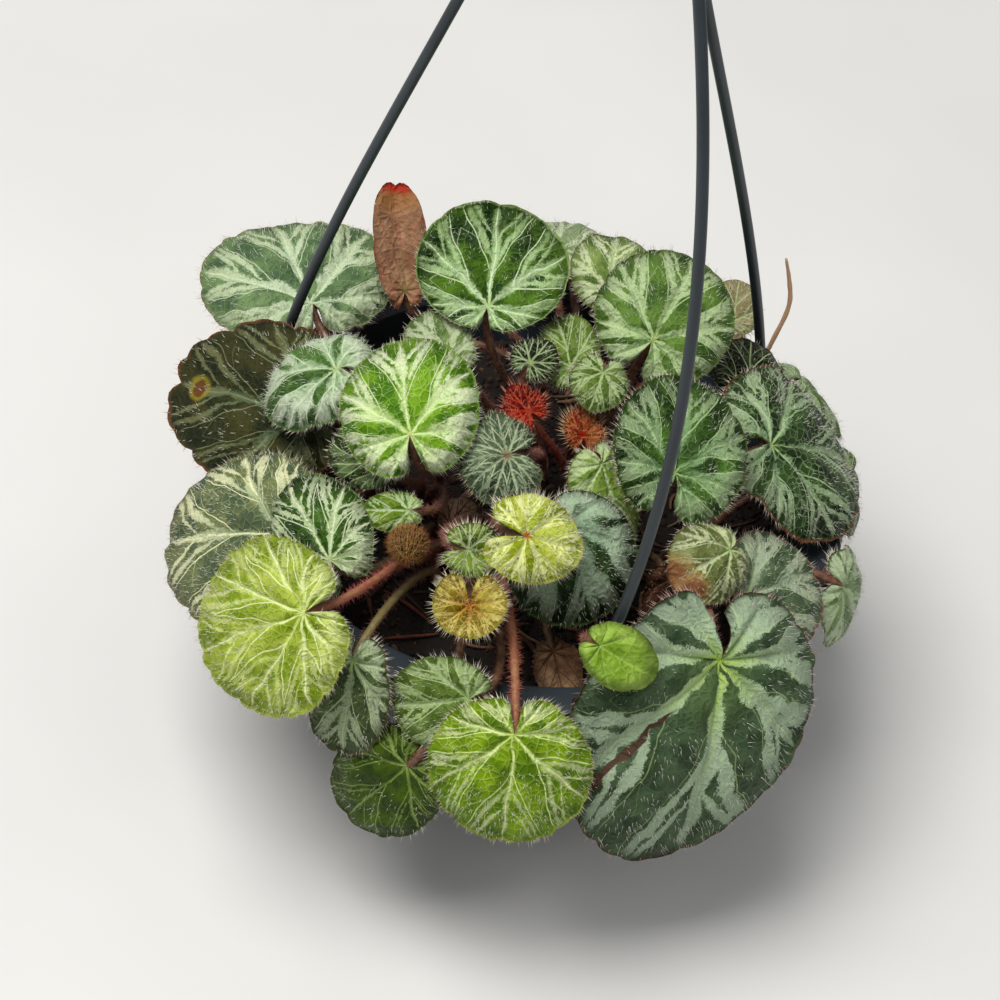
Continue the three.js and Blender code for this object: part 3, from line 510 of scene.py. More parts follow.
SKINS = {
    "leaf_front_big": dict(
        cell=((44, 62, 38), (74, 96, 66)), silver=((176, 198, 162), (160, 178, 152)), silver_width=0.075,
        vein=(190, 212, 140), vein_amount=0.35, net=(106, 126, 98), heart=((176, 206, 92), 0.45),
        heart_amount=0.85, rim=(122, 84, 74), rim_amount=0.2, hair=(0.2, 2.3), hair_from=0.35,
        scallop=0.25, crease=(-42, 2.8), blemish_tone=(76, 54, 42), stem=(150, 96, 84),
        fringe_tone=(206, 170, 160), soft=0.2, shade=0.3, silver_amount=0.95, halo=(96, 76, 60),
        patch=2.4),
    "leaf_front_lime": dict(
        LIME, cell=((74, 108, 6), (126, 158, 40)), silver=((216, 232, 152), (238, 244, 194)),
        stem=(142, 84, 58), stem_hair=(13.0, 1.7), stem_hair_tone=(196, 112, 92), veins=7),
    "leaf_front_fold": dict(
        cell=((62, 84, 22), (100, 124, 56)), silver=((150, 174, 116), (168, 188, 132)), silver_width=0.08,
        rim=(120, 132, 76)),
    "leaf_low_hanging": dict(
        cell=((36, 56, 4), (66, 90, 18)), silver=((98, 122, 52), (124, 144, 80)), silver_width=0.025,
        vein=(132, 152, 86), net=(86, 106, 44), rim=(74, 90, 40), soft=0.5, hair=(0.12, 1.5)),
    "leaf_low_silver": dict(
        cell=((48, 62, 30), (80, 98, 54)), silver=((150, 166, 130), (168, 180, 148)), silver_width=0.10,
        stem=(112, 104, 60)),
    "leaf_left_lime": dict(
        LIME, stem=(146, 84, 62), stem_hair=(14.0, 1.7), stem_hair_tone=(186, 96, 90),
        cell=((110, 134, 28), (166, 182, 80)), silver=((216, 230, 138), (232, 240, 168)),
        vein=(232, 240, 184)),
    "leaf_left_stripe": dict(
        veins=9, roll=1.2, cell=((26, 52, 8), (62, 98, 30)), silver=((176, 196, 148), (206, 220, 178)),
        silver_width=0.065, vein=(214, 226, 188), rim=(130, 150, 90), fringe=(2.0, 1.8),
        stem=(104, 92, 56), fringe_tone=(224, 222, 206), shade=0.7, patch=2.6),
    "leaf_left_grey": dict(
        cell=((70, 86, 62), (112, 122, 80)), silver=((156, 172, 138), (236, 238, 192)), silver_width=0.055,
        vein=(228, 230, 184), vein_amount=0.95, net=(176, 178, 126), net_amount=0.35, rim=(132, 112, 84),
        heart_amount=0.1, scallop=0.5, gloss=0.6, soft=0.4, shade=0.35, patch=2.6),
    "leaf_left_olive": dict(
        blemish=((36, 0, 2.2),), cell=((26, 34, 16), (56, 56, 26)), silver=((92, 112, 84), (122, 124, 86)),
        silver_width=0.05, vein=(122, 130, 98), net=(84, 82, 50), rim=(104, 66, 42), rim_amount=0.85,
        heart_amount=0.1, scallop=0.85, tooth=0.8, gloss=0.6, fringe_tone=(176, 140, 116),
        stem=(110, 70, 52), soft=0.4, shade=0.3, hair=(0.12, 1.6), silver_amount=0.7),
    "leaf_back_left": dict(
        cell=((70, 94, 64), (112, 138, 92)), silver=((206, 222, 190), (190, 206, 166)), silver_width=0.06,
        vein=(200, 214, 182), net=(140, 160, 116), rim=(142, 136, 96), heart_amount=0.1, gloss=0.6,
        soft=0.4, shade=0.3, blemish=((33, -20, 4), (37, -13, 3)), blemish_tone=(150, 150, 100),
        halo=(150, 158, 104), patch=2.4),
    "leaf_right_big": dict(
        cell=((18, 32, 10), (54, 80, 38)), silver=((132, 160, 120), (170, 190, 150)), silver_width=0.05,
        vein=(166, 186, 146), vein_amount=0.9, net=(124, 148, 104), net_amount=0.75, rim=(118, 76, 54),
        rim_amount=0.8, scallop=0.6, soft=0.25),
    "leaf_right_back": dict(
        cell=((52, 70, 52), (90, 108, 78)), silver=((156, 174, 150), (178, 188, 160)), silver_width=0.10,
        rim=(150, 98, 84), rim_amount=0.9, scallop=0.6, fringe_tone=(190, 140, 128), shade=0.3, patch=2.8),
    "leaf_right_low": dict(
        cell=((80, 104, 62), (124, 150, 100)), silver=((182, 202, 162), (192, 208, 172)),
        silver_width=0.08, rim=(110, 118, 78), shade=0.3),
    "leaf_right_edge": dict(
        cell=((38, 58, 24), (72, 96, 46)), silver=((118, 140, 92), (130, 148, 104)), silver_width=0.06),
    "leaf_top_cup": dict(
        roll=-1.0, cell=((22, 52, 6), (80, 116, 32)), silver=((186, 212, 162), (162, 192, 130)),
        silver_width=0.06, vein=(216, 232, 192), rim=(146, 172, 104), rim_amount=0.8, net=(120, 148, 76),
        scallop=0.15, tooth=0.3, fringe=(1.2, 1.5), stem=(84, 44, 42), stem_hair_tone=(132, 80, 76),
        soft=0.55, shade=0.6),
    "leaf_top_right": dict(
        cell=((54, 84, 30), (98, 130, 58)), silver=((172, 196, 142), (194, 214, 164)), silver_width=0.07,
        vein=(186, 206, 156), rim=(120, 120, 76), scallop=0.45, soft=0.45, patch=3.0),
    "leaf_middle_bright": dict(
        roll=1.4, cell=((62, 108, 8), (118, 160, 46)), silver=((190, 216, 142), (236, 246, 206)),
        silver_width=0.07, vein=(214, 228, 178), net=(168, 196, 106), net_amount=0.45,
        heart=((190, 204, 110), 0.14), rim=(150, 170, 90), specks=0.3, fringe=(3.0, 2.1), scallop=0.2,
        fringe_tone=(232, 230, 212), hair_tone=(238, 238, 222), soft=0.55, shade=0.6, patch=3.4),
    "leaf_middle_under": dict(
        cell=((24, 38, 6), (50, 70, 20)), silver=((84, 108, 60), (112, 132, 86)), fringe=(2.0, 1.8),
        shade=0.7),
    "leaf_left_convex": dict(
        roll=1.3, cell=((34, 64, 20), (74, 108, 48)), silver=((158, 184, 142), (214, 226, 200)),
        silver_width=0.11, vein=(206, 220, 186), rim=(110, 130, 76), scallop=0.2, fringe=(3.0, 2.0),
        fringe_tone=(230, 228, 214), soft=0.5, shade=0.7, patch=3.2),
    "leaf_fold_right": dict(
        cell=((28, 52, 14), (68, 102, 38)), silver=((118, 152, 104), (158, 180, 136)), silver_width=0.08,
        vein=(170, 196, 140), rim=(92, 104, 52), scallop=0.5, gloss=0.38, fringe_tone=(214, 206, 186),
        soft=0.4, shade=0.6, fringe=(2.2, 2.1), patch=3.0),
    "leaf_silver_dome": dict(
        roll=1.3, cell=((20, 38, 12), (50, 74, 32)), silver=((150, 176, 146), (182, 202, 172)),
        silver_width=0.13, vein=(158, 180, 150), vein_amount=0.5, net=(84, 108, 66), rim=(80, 100, 44),
        scallop=0.15, hair=(0.5, 1.8), hair_from=0.2, fringe=(3.2, 2.0), soft=0.5, shade=0.75, patch=3.0),
    "leaf_striped_fold": dict(
        cell=((88, 116, 38), (134, 160, 78)), silver=((184, 206, 142), (198, 214, 160)), silver_width=0.08,
        fringe=(2.2, 1.9), hair=(0.5, 1.7), soft=0.45, shade=0.4),
    "leaf_small_dark": dict(
        veins=11, cell=((54, 68, 48), (86, 104, 78)), silver=((130, 148, 118), (140, 156, 128)),
        silver_width=0.03, vein=(172, 184, 150), vein_amount=0.9, net=(116, 132, 98),
        heart=((108, 72, 50), 0.16), heart_amount=0.8, hair=(0.6, 1.5), hair_from=0.1, fringe=(2.6, 1.8),
        hair_tone=(196, 190, 160), fringe_tone=(196, 184, 156)),
    "leaf_right_convex": dict(
        cell=((84, 92, 46), (132, 142, 88)), silver=((200, 204, 160), (208, 210, 170)), silver_width=0.05,
        blemish=((17, -1, 4.5), (14, 4, 3)), rim=(132, 92, 66), fringe=(2.0, 1.8),
        blemish_tone=(128, 88, 60), soft=0.5, halo=(150, 120, 70)),
    "leaf_back_bright": dict(
        cell=((72, 96, 38), (130, 152, 84)), silver=((206, 222, 168), (216, 226, 184)), silver_width=0.08,
        specks=0.4),
    "leaf_back_edge": dict(
        cell=((104, 122, 88), (144, 160, 120)), silver=((200, 212, 178), (204, 214, 184)),
        silver_width=0.05, rim=(126, 96, 66), rim_amount=0.8, shade=0.2),
    "leaf_back_fold": dict(
        cell=((124, 88, 66), (168, 132, 104)), silver=((150, 110, 84), (176, 120, 92)), silver_width=0.03,
        vein=(128, 88, 74), vein_amount=0.4, net=(92, 54, 48), net_amount=0.15, rim=(150, 74, 60),
        rim_amount=0.9, heart=((92, 100, 44), 0.5), heart_amount=0.6, under=(150, 104, 78), pleat=0.1,
        scallop=0.9, gloss=0.6, fringe=(1.0, 1.2), hair=(0.05, 1.0), blemish=((34, 0, 8),),
        blemish_tone=(164, 58, 48), halo=(156, 110, 66), shade=0.35),
    "leaf_back_olive": dict(
        cell=((126, 118, 84), (176, 166, 128)), silver=((132, 122, 84), (140, 124, 88)), silver_width=0.04,
        rim=(120, 82, 56), rim_amount=0.8, shade=0.2),
    # An olive leaf whose colours are darkened almost to black with painted shade
    "leaf_right_shade": dict(
        cell=((6, 9, 3), (20, 26, 10)), silver=((58, 72, 44), (70, 84, 54)), silver_width=0.05,
        hair=(0.1, 1.4)),
    "leaf_rear_middle": REAR,
    "leaf_rear_left": dict(
        REAR, cell=((70, 92, 58), (106, 128, 80)), silver=((160, 178, 140), (172, 186, 146))),
    "leaf_rear_right": dict(
        REAR, cell=((40, 58, 34), (74, 94, 58)), silver=((126, 146, 114), (138, 154, 124))),
    "leaf_rear_side": dict(REAR, cell=((56, 84, 34), (98, 126, 62))),
    "young_yellow": dict(
        YOUNG, cell=((132, 148, 22), (194, 206, 96)), silver=((238, 242, 166), (238, 242, 176)),
        silver_width=0.05, vein=(224, 230, 160), net=(214, 220, 144), rim=(176, 168, 84),
        heart=((176, 92, 30), 0.16), heart_amount=0.9, under=(150, 150, 80), scallop=0.4),
    "young_cup": dict(
        YOUNG, roll=-1.2, cell=((112, 96, 28), (164, 152, 66)), silver=((190, 164, 84), (222, 216, 136)),
        silver_width=0.04, vein=(196, 184, 104), net=(186, 180, 96), rim=(150, 168, 66),
        heart=((160, 84, 40), 0.6), heart_amount=0.85, under=(146, 156, 64), hair=(1.3, 2.3),
        hair_tone=(226, 190, 130), fringe=(4.0, 2.2), specks=0.2),
    "young_curl": dict(
        YOUNG, cell=((44, 64, 8), (112, 134, 46)), silver=((150, 172, 92), (160, 180, 110)),
        silver_width=0.03, rim=(120, 120, 60), hair_tone=(220, 206, 180), under=(120, 136, 66), shade=0.6),
    "young_glossy": dict(
        cell=((66, 100, 18), (120, 142, 50)), silver=((186, 206, 170), (176, 196, 140)), silver_width=0.07,
        gloss=0.25, specks=0.3, hair=(0.1, 1.2), fringe=(1.2, 1.2)),
    "young_speckled": dict(
        cell=((84, 110, 54), (130, 152, 94)), silver=((190, 204, 164), (200, 210, 176)), specks=0.4),
    "young_dark": dict(
        cell=((12, 18, 6), (30, 38, 16)), silver=((66, 80, 50), (80, 94, 62)), silver_width=0.04,
        hair=(0.3, 1.4)),
    "young_pointed": dict(
        cell=((66, 90, 26), (108, 132, 56)), silver=((146, 170, 108), (160, 180, 124)), silver_width=0.05,
        fringe=(2.2, 1.7)),
    "young_low": dict(
        cell=((72, 96, 34), (114, 136, 66)), silver=((160, 180, 122), (170, 188, 136)), silver_width=0.06,
        fringe=(2.2, 1.7)),
    "young_green_curl": dict(
        cell=((112, 146, 46), (158, 190, 86)), silver=((176, 202, 112), (186, 208, 124)),
        silver_width=0.05, silver_amount=0.2, vein=(190, 214, 130), vein_amount=0.15, net_amount=0.05,
        gloss=0.3, hair=(0.02, 1.0), fringe=(0.3, 1.0), under=(126, 158, 60), scallop=0.6, roll=3.0,
        shade=0.7, soft=0.6),
    "young_red": dict(
        YOUNG, cell=((88, 16, 16), (136, 34, 30)), silver=((150, 62, 44), (160, 90, 60)),
        silver_width=0.03, vein=(186, 84, 64), net=(150, 48, 40), rim=(160, 80, 56), specks=0,
        heart_amount=0, hair_tone=(206, 132, 110), fringe_tone=(206, 130, 110), under=(130, 40, 36),
        stem=(140, 40, 36), scallop=0.8),
    "young_red_right": dict(
        YOUNG, cell=((110, 38, 26), (134, 100, 50)), silver=((160, 90, 56), (150, 140, 80)),
        silver_width=0.03, vein=(176, 100, 70), net=(150, 80, 50), rim=(150, 120, 70), specks=0,
        heart=((150, 36, 30), 0.5), heart_amount=0.9, under=(130, 50, 40), hair_tone=(216, 160, 124),
        fringe_tone=(214, 180, 140), stem=(150, 40, 36), scallop=0.8),
    "dead_right": dict(DEAD, cell=((26, 14, 10), (66, 40, 30))),
    # A dried leaf made paler than the others with painted light, against the shade it lies in
    "dead_middle": dict(DEAD, cell=((170, 136, 110), (214, 184, 156))),
    "dead_front": dict(DEAD),
    "young_bud": dict(
        YOUNG, cell=((40, 24, 10), (84, 56, 24)), silver=((150, 110, 60), (140, 80, 50)),
        silver_width=0.03, vein=(170, 130, 74), heart_amount=0, hair_tone=(164, 112, 62),
        under=(120, 100, 50), specks=0),
}


def skin_of(leaf):
    return dict(PLAIN_SKIN, **SKINS[leaf["name"]])


def linear(colour):
    """A 0 to 255 colour as the linear colour that shaders use."""
    share = np.asarray(colour, float) / 255
    return np.where(share <= 0.04045, share / 12.92, ((share + 0.055) / 1.055) ** 2.4)


def smooth(value, low, high):
    share = np.clip((value - low) / (high - low), 0, 1)
    return share * share * (3 - 2 * share)


def unit(vectors):
    return vectors / np.linalg.norm(vectors, axis=-1, keepdims=True)


class Shell:
    """Collects triangles in millimetres, with what their materials read, for one object."""

    def __init__(self):
        self.parts = []
        self.count = 0

    def add(self, points, triangles, material=0, leaf=None, blade=None, tone=None):
        size = len(points)
        data = [np.zeros((size, 3)) if value is None else np.broadcast_to(value, (size, 3))
                for value in (leaf, blade, tone)]
        self.parts.append((points, np.asarray(triangles) + self.count, material, *data))
        self.count += size

    def build(self, name, materials):
        points = np.concatenate([part[0] for part in self.parts]) * MM
        triangles = np.concatenate([part[1] for part in self.parts])
        indices = np.concatenate([np.full(len(part[1]), part[2]) for part in self.parts])
        mesh = bpy.data.meshes.new(name)
        mesh.vertices.add(len(points))
        mesh.vertices.foreach_set("co", points.ravel())
        mesh.loops.add(3 * len(triangles))
        mesh.loops.foreach_set("vertex_index", triangles.ravel())
        mesh.polygons.add(len(triangles))
        mesh.polygons.foreach_set("loop_start", np.arange(len(triangles)) * 3)
        mesh.polygons.foreach_set("material_index", indices)
        mesh.polygons.foreach_set("use_smooth", np.ones(len(triangles), bool))
        mesh.update(calc_edges=True)
        for column, attribute in ((3, "leaf"), (4, "blade"), (5, "tone")):
            data = np.concatenate([part[column] for part in self.parts])
            if data.any():
                layer = mesh.attributes.new(attribute, "FLOAT_VECTOR", "POINT")
                layer.data.foreach_set("vector", data.ravel())
        for material in materials:
            mesh.materials.append(material)
        piece = bpy.data.objects.new(name, mesh)
        bpy.context.scene.collection.objects.link(piece)
        return piece


def declare(piece, node):
    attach(piece, "root")
    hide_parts(node)
    return piece


# Tubes and turned shapes


def grid_triangles(rows, columns, closed):
    """Triangles of a grid of rows by columns of points, joined round each row if closed."""
    across = columns if closed else columns - 1
    row, column = np.meshgrid(np.arange(rows - 1), np.arange(across), indexing="ij")
    beside = (column + 1) % columns
    a, b = row * columns + column, row * columns + beside
    c, d = a + columns, b + columns
    return np.concatenate([np.stack([a, b, d], -1).reshape(-1, 3), np.stack([a, d, c], -1).reshape(-1, 3)])


def path_frames(points):
    """Two directions square to a path at each of its points, carried along without twist."""
    along = unit(np.gradient(points, axis=0))
    start = np.array([1.0, 0, 0]) if abs(along[0][0]) < 0.8 else np.array([0, 1.0, 0])
    side = [unit(np.cross(along[0], start))]
    for direction in along[1:]:
        side.append(unit(side[-1] - direction * np.dot(side[-1], direction)))
    side = np.array(side)
    return along, side, np.cross(along, side)


def closed_skin(rows, ends):
    """The skin over closed rows of points, whose first and last rows meet in two more points."""
    count, sides, _ = rows.shape
    around = np.arange(sides)
    beside = (around + 1) % sides
    first, last = (count - 1) * sides, count * sides
    caps = [np.stack([np.full(sides, last), beside, around], -1),
            np.stack([np.full(sides, last + 1), first + around, first + beside], -1)]
    triangles = np.concatenate([grid_triangles(count, sides, True), *caps])
    return np.concatenate([rows.reshape(-1, 3), ends]), triangles


def full_turn(sides):
    return np.linspace(0, 2 * np.pi, sides, endpoint=False)


def tube(points, radii, sides):
    """A tube round a path, closed at both ends."""
    _, side, other = path_frames(points)
    turn = full_turn(sides)
    ring = side[:, None] * np.cos(turn)[None, :, None] + other[:, None] * np.sin(turn)[None, :, None]
    rows = points[:, None] + ring * np.broadcast_to(radii, len(points))[:, None, None]
    return closed_skin(rows, points[[0, -1]])


def turned(profile, sides):
    """A shape turned round the Z axis from (radius, height) pairs, whose first and last radii are 0."""
    profile = np.asarray(profile, float)
    turn = full_turn(sides)
    inner = profile[1:-1]
    rows = np.stack([inner[:, :1] * np.cos(turn), inner[:, :1] * np.sin(turn),
                     np.broadcast_to(inner[:, 1:], (len(inner), sides))], -1)
    return closed_skin(rows, [[0, 0, profile[0][1]], [0, 0, profile[-1][1]]])


def rounded(profile, radius, steps=4):
    """The profile with its corners rounded."""
    points = [np.asarray(point, float) for point in profile]
    result = [points[0]]
    for before, corner, after in zip(points, points[1:], points[2:]):
        back, on = before - corner, after - corner
        reach = min(radius, 0.45 * np.linalg.norm(back), 0.45 * np.linalg.norm(on))
        start, end = corner + unit(back) * reach, corner + unit(on) * reach
        for share in np.linspace(0, 1, steps):
            result.append((1 - share) ** 2 * start + 2 * share * (1 - share) * corner + share ** 2 * end)
    return result + [points[-1]]


def bezier(a, b, c, d, share):
    share = share[:, None]
    return ((1 - share) ** 3 * a + 3 * (1 - share) ** 2 * share * b
            + 3 * (1 - share) * share ** 2 * c + share ** 3 * d)


def through(points, steps):
    """A smooth path through points."""
    points = np.asarray(points, float)
    padded = np.concatenate([2 * points[:1] - points[1:2], points, 2 * points[-1:] - points[-2:-1]])
    path = []
    for a, b, c, d in zip(padded, padded[1:], padded[2:], padded[3:]):
        share = np.linspace(0, 1, steps, endpoint=False)
        path.append(bezier(b, b + (c - a) / 6, c - (d - b) / 6, c, share))
    return np.concatenate([*path, points[-1:]])


# Leaves


def blade_frame(leaf):
    """Rows: along the midrib, across the blade, out of its face."""
    compass, tilt = np.radians(leaf["face"])
    turn = math.radians(leaf["turn"])
    east, north = math.cos(compass), math.sin(compass)
    normal = np.array([east * math.sin(tilt), north * math.sin(tilt), math.cos(tilt)])
    downhill = np.array([east * math.cos(tilt), north * math.cos(tilt), -math.sin(tilt)])
    midrib = downhill * math.cos(turn) + np.cross(normal, downhill) * math.sin(turn)
    return np.array([midrib, np.cross(normal, midrib), normal])


def blade_origin(leaf):
    return np.array(leaf["at"], float) + (0, 0, POT_HEIGHT)


def by_size(leaf, big, middling, small):
    """The one of three values that suits the leaf's length."""
    long = leaf["size"][0]
    return big if long > BIG_LEAF else middling if long > SMALL_LEAF else small


def scallop_count(leaf):
    return by_size(leaf, *SCALLOPS)


def half_thickness(leaf, share):
    thick = by_size(leaf, BLADE_THICK, BLADE_THICK, SMALL_BLADE_THICK)
    return thick / 2 * (1 - EDGE_THINNING * share ** 6)


def blade_reach(leaf, angle):
    """How far the blade's outline lies from the stem, before its scallops."""
    long, wide = leaf["size"]
    half_long = long * (1 + leaf["back"]) / 2
    c, s, k = np.cos(angle) / half_long, np.sin(angle) / (wide / 2), (long - half_long) / half_long
    a, b, d = c * c + s * s, -2 * c * k, k * k - 1
    oval = (-b + np.sqrt(b * b - 4 * a * d)) / (2 * a)
    near_notch = np.minimum(1, (WIDEST - np.abs(angle)) / LOBE_ROUNDING)
    rounding = np.sqrt(np.maximum(0, 1 - (1 - near_notch) ** 2))
    uneven = 1 + leaf["skew"] * np.sin(angle) * np.maximum(0, np.cos(angle))
    uneven += OUTLINE_WOBBLE * (np.sin(3 * angle + long) + 0.7 * np.sin(5 * angle + 2 * wide))
    return oval * uneven * (1 - LOBE_DEPTH * (1 - rounding))


def blade_shape(leaf, angle, share):
    """The blade's middle surface at an angle from the midrib and a share of the way out to its edge."""
    long, wide = leaf["size"]
    half_long, half_wide = long * (1 + leaf["back"]) / 2, wide / 2
    ahead = long - half_long
    phase = scallop_count(leaf) * (angle / WIDEST + 1) / 2
    scallop = 1 - np.abs(np.sin(np.pi * phase)) ** SCALLOP_FULLNESS
    tooth = 1 - np.abs(np.sin(TEETH_PER_SCALLOP * np.pi * phase)) ** SCALLOP_FULLNESS
    skin = skin_of(leaf)
    lobes = SCALLOP_CUT * (SCALLOP_MEAN + skin["scallop"] * (scallop - SCALLOP_MEAN))
    cut = smooth(share, CUT_FROM, 1) * (lobes + TOOTH_CUT * skin["tooth"] * tooth)
    radius = blade_reach(leaf, angle) * share * (1 - cut)
    u, v = radius * np.cos(angle), radius * np.sin(angle)
    out = ((u - ahead) / half_long) ** 2 + (v / half_wide) ** 2 - (ahead / half_long) ** 2
    crease = FOLD_SOFTNESS * half_wide
    height = leaf["cup"] * half_wide * out + leaf["fold"] * (np.hypot(v, crease) - crease)
    height -= np.where(u > 0, leaf["droop"] * u * u / (2 * long), 0)
    height += leaf["wave"] * np.sin(MARGIN_WAVES * angle + long) * share ** 3
    spacing = 2 * WIDEST / skin["veins"]
    puffed = np.abs(np.sin(np.pi * angle / spacing)) ** PLEAT_FULLNESS * 4 * share * (1 - share)
    height += skin["pleat"] * half_wide * (puffed - PLEAT_SINK * share)
    relief = min(1, half_wide / FULL_RELIEF_HALF_WIDTH)
    height += relief * UNDULATION * share * (
        np.sin(0.55 * u + long) * np.cos(0.62 * v + wide) + 0.6 * np.sin(0.9 * v + 0.4 * u))
    height -= relief * skin["roll"] * smooth(share, ROLL_FROM, 1) ** 2
    if skin["crease"]:
        fold_angle, depth = skin["crease"]
        past = math.radians(fold_angle) - angle
        beyond = smooth(past, *CREASE_EDGE) * smooth(share, *CREASE_REACH)
        height -= depth * beyond * (1 - 0.5 * smooth(past, *CREASE_RECOVERY))
    return u, v, height


def blade_points(leaf, angle, share, side=0.0):
    """The same in the model's frame, on the upper face (side 1), the lower one (-1) or between."""
    u, v, height = blade_shape(leaf, angle, share)
    height = height + side * half_thickness(leaf, share)
    return blade_origin(leaf) + np.stack([u, v, height], -1) @ blade_frame(leaf)


def add_blade(shell, leaf, seed):
    spokes = scallop_count(leaf) * SPOKES_PER_SCALLOP + 1
    rings = by_size(leaf, *RINGS)
    angle = np.linspace(-WIDEST, WIDEST, spokes)
    share = (np.arange(rings + 1) / rings) ** RING_CROWDING
    share[0] = NEAREST_STEM
    share, angle = np.meshgrid(share, angle, indexing="ij")
    u, v, _ = blade_shape(leaf, angle, share)
    faces = [blade_points(leaf, angle, share, side).reshape(-1, 3) for side in (1, -1)]
    points = np.concatenate(faces)
    top = grid_triangles(rings + 1, spokes, False)
    low = top[:, ::-1] + len(faces[0])
    edge = np.arange(spokes - 1) + rings * spokes
    ends = [edge, *(np.arange(rings) * spokes + k for k in (0, spokes - 1))]
    steps = [1, spokes, spokes]
    walls = []
    for start, step, flip in zip(ends, steps, (False, True, False)):
        a, b = start, start + step
        c, d = a + len(faces[0]), b + len(faces[0])
        wall = np.concatenate([np.stack([a, c, d], -1), np.stack([a, d, b], -1)])
        walls.append(wall[:, ::-1] if flip else wall)
    leaf_data = np.stack([u, v, np.full_like(u, seed)], -1).reshape(-1, 3)
    reach = blade_reach(leaf, angle)
    blade = [np.stack([share, np.full_like(u, face), reach], -1).reshape(-1, 3) for face in (1, 0)]
    shell.add(points, np.concatenate([top, low, *walls]), 0,
              np.concatenate([leaf_data, leaf_data]), np.concatenate(blade))


def soil_height(x, y):
    fall = np.minimum(1, np.hypot(x, y) / RIM_FLANGE_IN)
    return SOIL_CROWN_HEIGHT - (SOIL_CROWN_HEIGHT - SOIL_EDGE_HEIGHT) * fall * fall


def stem_foot(x, y):
    """Where a stem ends in its hole, and where it leaves the soil."""
    surface = np.array([x, y, soil_height(x, y) + 1])
    return surface - (0, 0, STEM_HOLE_DEPTH + 1 - FIT_GAP), surface


def stem_path(leaf):
    midrib, _, normal = blade_frame(leaf)
    crown, (compass, distance) = CROWNS[leaf["crown"]], leaf["foot"]
    x = crown[0] + distance * math.cos(math.radians(compass))
    y = crown[1] + distance * math.sin(math.radians(compass))
    bottom, surface = stem_foot(x, y)
    top = blade_origin(leaf)
    along, out = leaf["arrive"]
    arriving = unit(midrib * along + normal * out)
    handle = leaf["sweep"] * np.linalg.norm(top - surface)
    curve = bezier(surface, surface + (0, 0, handle), top - arriving * handle, top,
                   np.linspace(0, 1, STEM_STEPS))
    return np.concatenate([np.linspace(bottom, surface, FOOT_STEPS)[:-1], curve])


def add_hairs(shell, roots, directions, lengths, radius, tone, random):
    """Hairs as slim three-sided cones, each a little off in length and shade."""
    count = len(roots)
    directions = unit(directions)
    side = unit(np.cross(directions, unit(random.normal(size=(count, 3)))))
    other = np.cross(directions, side)
    base = [roots + radius * (math.cos(turn) * side + math.sin(turn) * other)
            for turn in (0, 2 * math.pi / 3, 4 * math.pi / 3)]
    tips = roots + directions * lengths[:, None]
    points = np.stack([*base, tips], 1).reshape(-1, 3)
    first = np.arange(count)[:, None, None] * 4
    triangles = (first + np.array([[0, 1, 3], [1, 2, 3], [2, 0, 3]])).reshape(-1, 3)
    shade = linear(tone) * random.uniform(*HAIR_SHADES, (count, 1))
    shell.add(points, triangles, 2, tone=np.repeat(shade, 4, axis=0))


def add_blade_hairs(shell, leaf, random):
    skin = skin_of(leaf)
    per_area, length = skin["hair"]
    area = OVAL_FILL * leaf["size"][0] * (1 + leaf["back"]) * leaf["size"][1]
    count = int(area * per_area)
    tries = HAIR_TRIES * count
    angle = random.uniform(-WIDEST, WIDEST, tries)
    reach = blade_reach(leaf, angle)
    angle = angle[random.uniform(0, 1, tries) * reach.max() ** 2 < reach ** 2][:count]
    share = np.sqrt(random.uniform(skin["hair_from"] ** 2, HAIR_UP_TO, len(angle)))
    roots = blade_points(leaf, angle, share, ROOT_SINK)
    outward = blade_points(leaf, angle, share + NUDGE, ROOT_SINK) - roots
    around = blade_points(leaf, angle + NUDGE, share, ROOT_SINK) - roots
    normal = unit(np.cross(outward, around))
    lean = random.normal(size=(len(angle), 3)) * HAIR_DISORDER + HAIR_LEAN * unit(outward)
    lengths = length * random.uniform(*HAIR_LENGTHS, len(angle))
    add_hairs(shell, roots, normal + lean, lengths, HAIR_RADIUS, skin["hair_tone"], random)


def add_fringe(shell, leaf, random):
    skin = skin_of(leaf)
    per_length, length = skin["fringe"]
    count = int(per_length * OUTLINE_PER_SIZE * (leaf["size"][0] + leaf["size"][1]) / 2)
    angle = random.uniform(-WIDEST, WIDEST, count)
    share = random.uniform(FRINGE_FROM, 1.0, count)
    side = random.uniform(-ROOT_SINK, ROOT_SINK, count)
    roots = blade_points(leaf, angle, share, side)
    outward = unit(blade_points(leaf, angle, share + NUDGE, side) - roots)
    normal = blade_frame(leaf)[2]
    lean = normal * random.normal(*FRINGE_LEAN, (count, 1))
    lean = lean + random.normal(size=(count, 3)) * FRINGE_DISORDER
    lengths = length * random.uniform(*FRINGE_LENGTHS, count)
    add_hairs(shell, roots, outward + lean, lengths, FRINGE_RADIUS, skin["fringe_tone"], random)


def add_stem(shell, leaf):
    path = stem_path(leaf)
    radii = STEM_RADIUS * np.linspace(1.0, STEM_TAPER, len(path))
    points, triangles = tube(path, radii, STEM_SIDES)
    heights = np.concatenate([np.repeat(np.arange(len(path)), STEM_SIDES), [0, len(path) - 1]])
    tone = linear(skin_of(leaf)["stem"]) * (STEM_SHADE + STEM_SHADE_RISE * heights[:, None] / len(path))
    shell.add(points, triangles, 1, leaf=points, tone=tone)


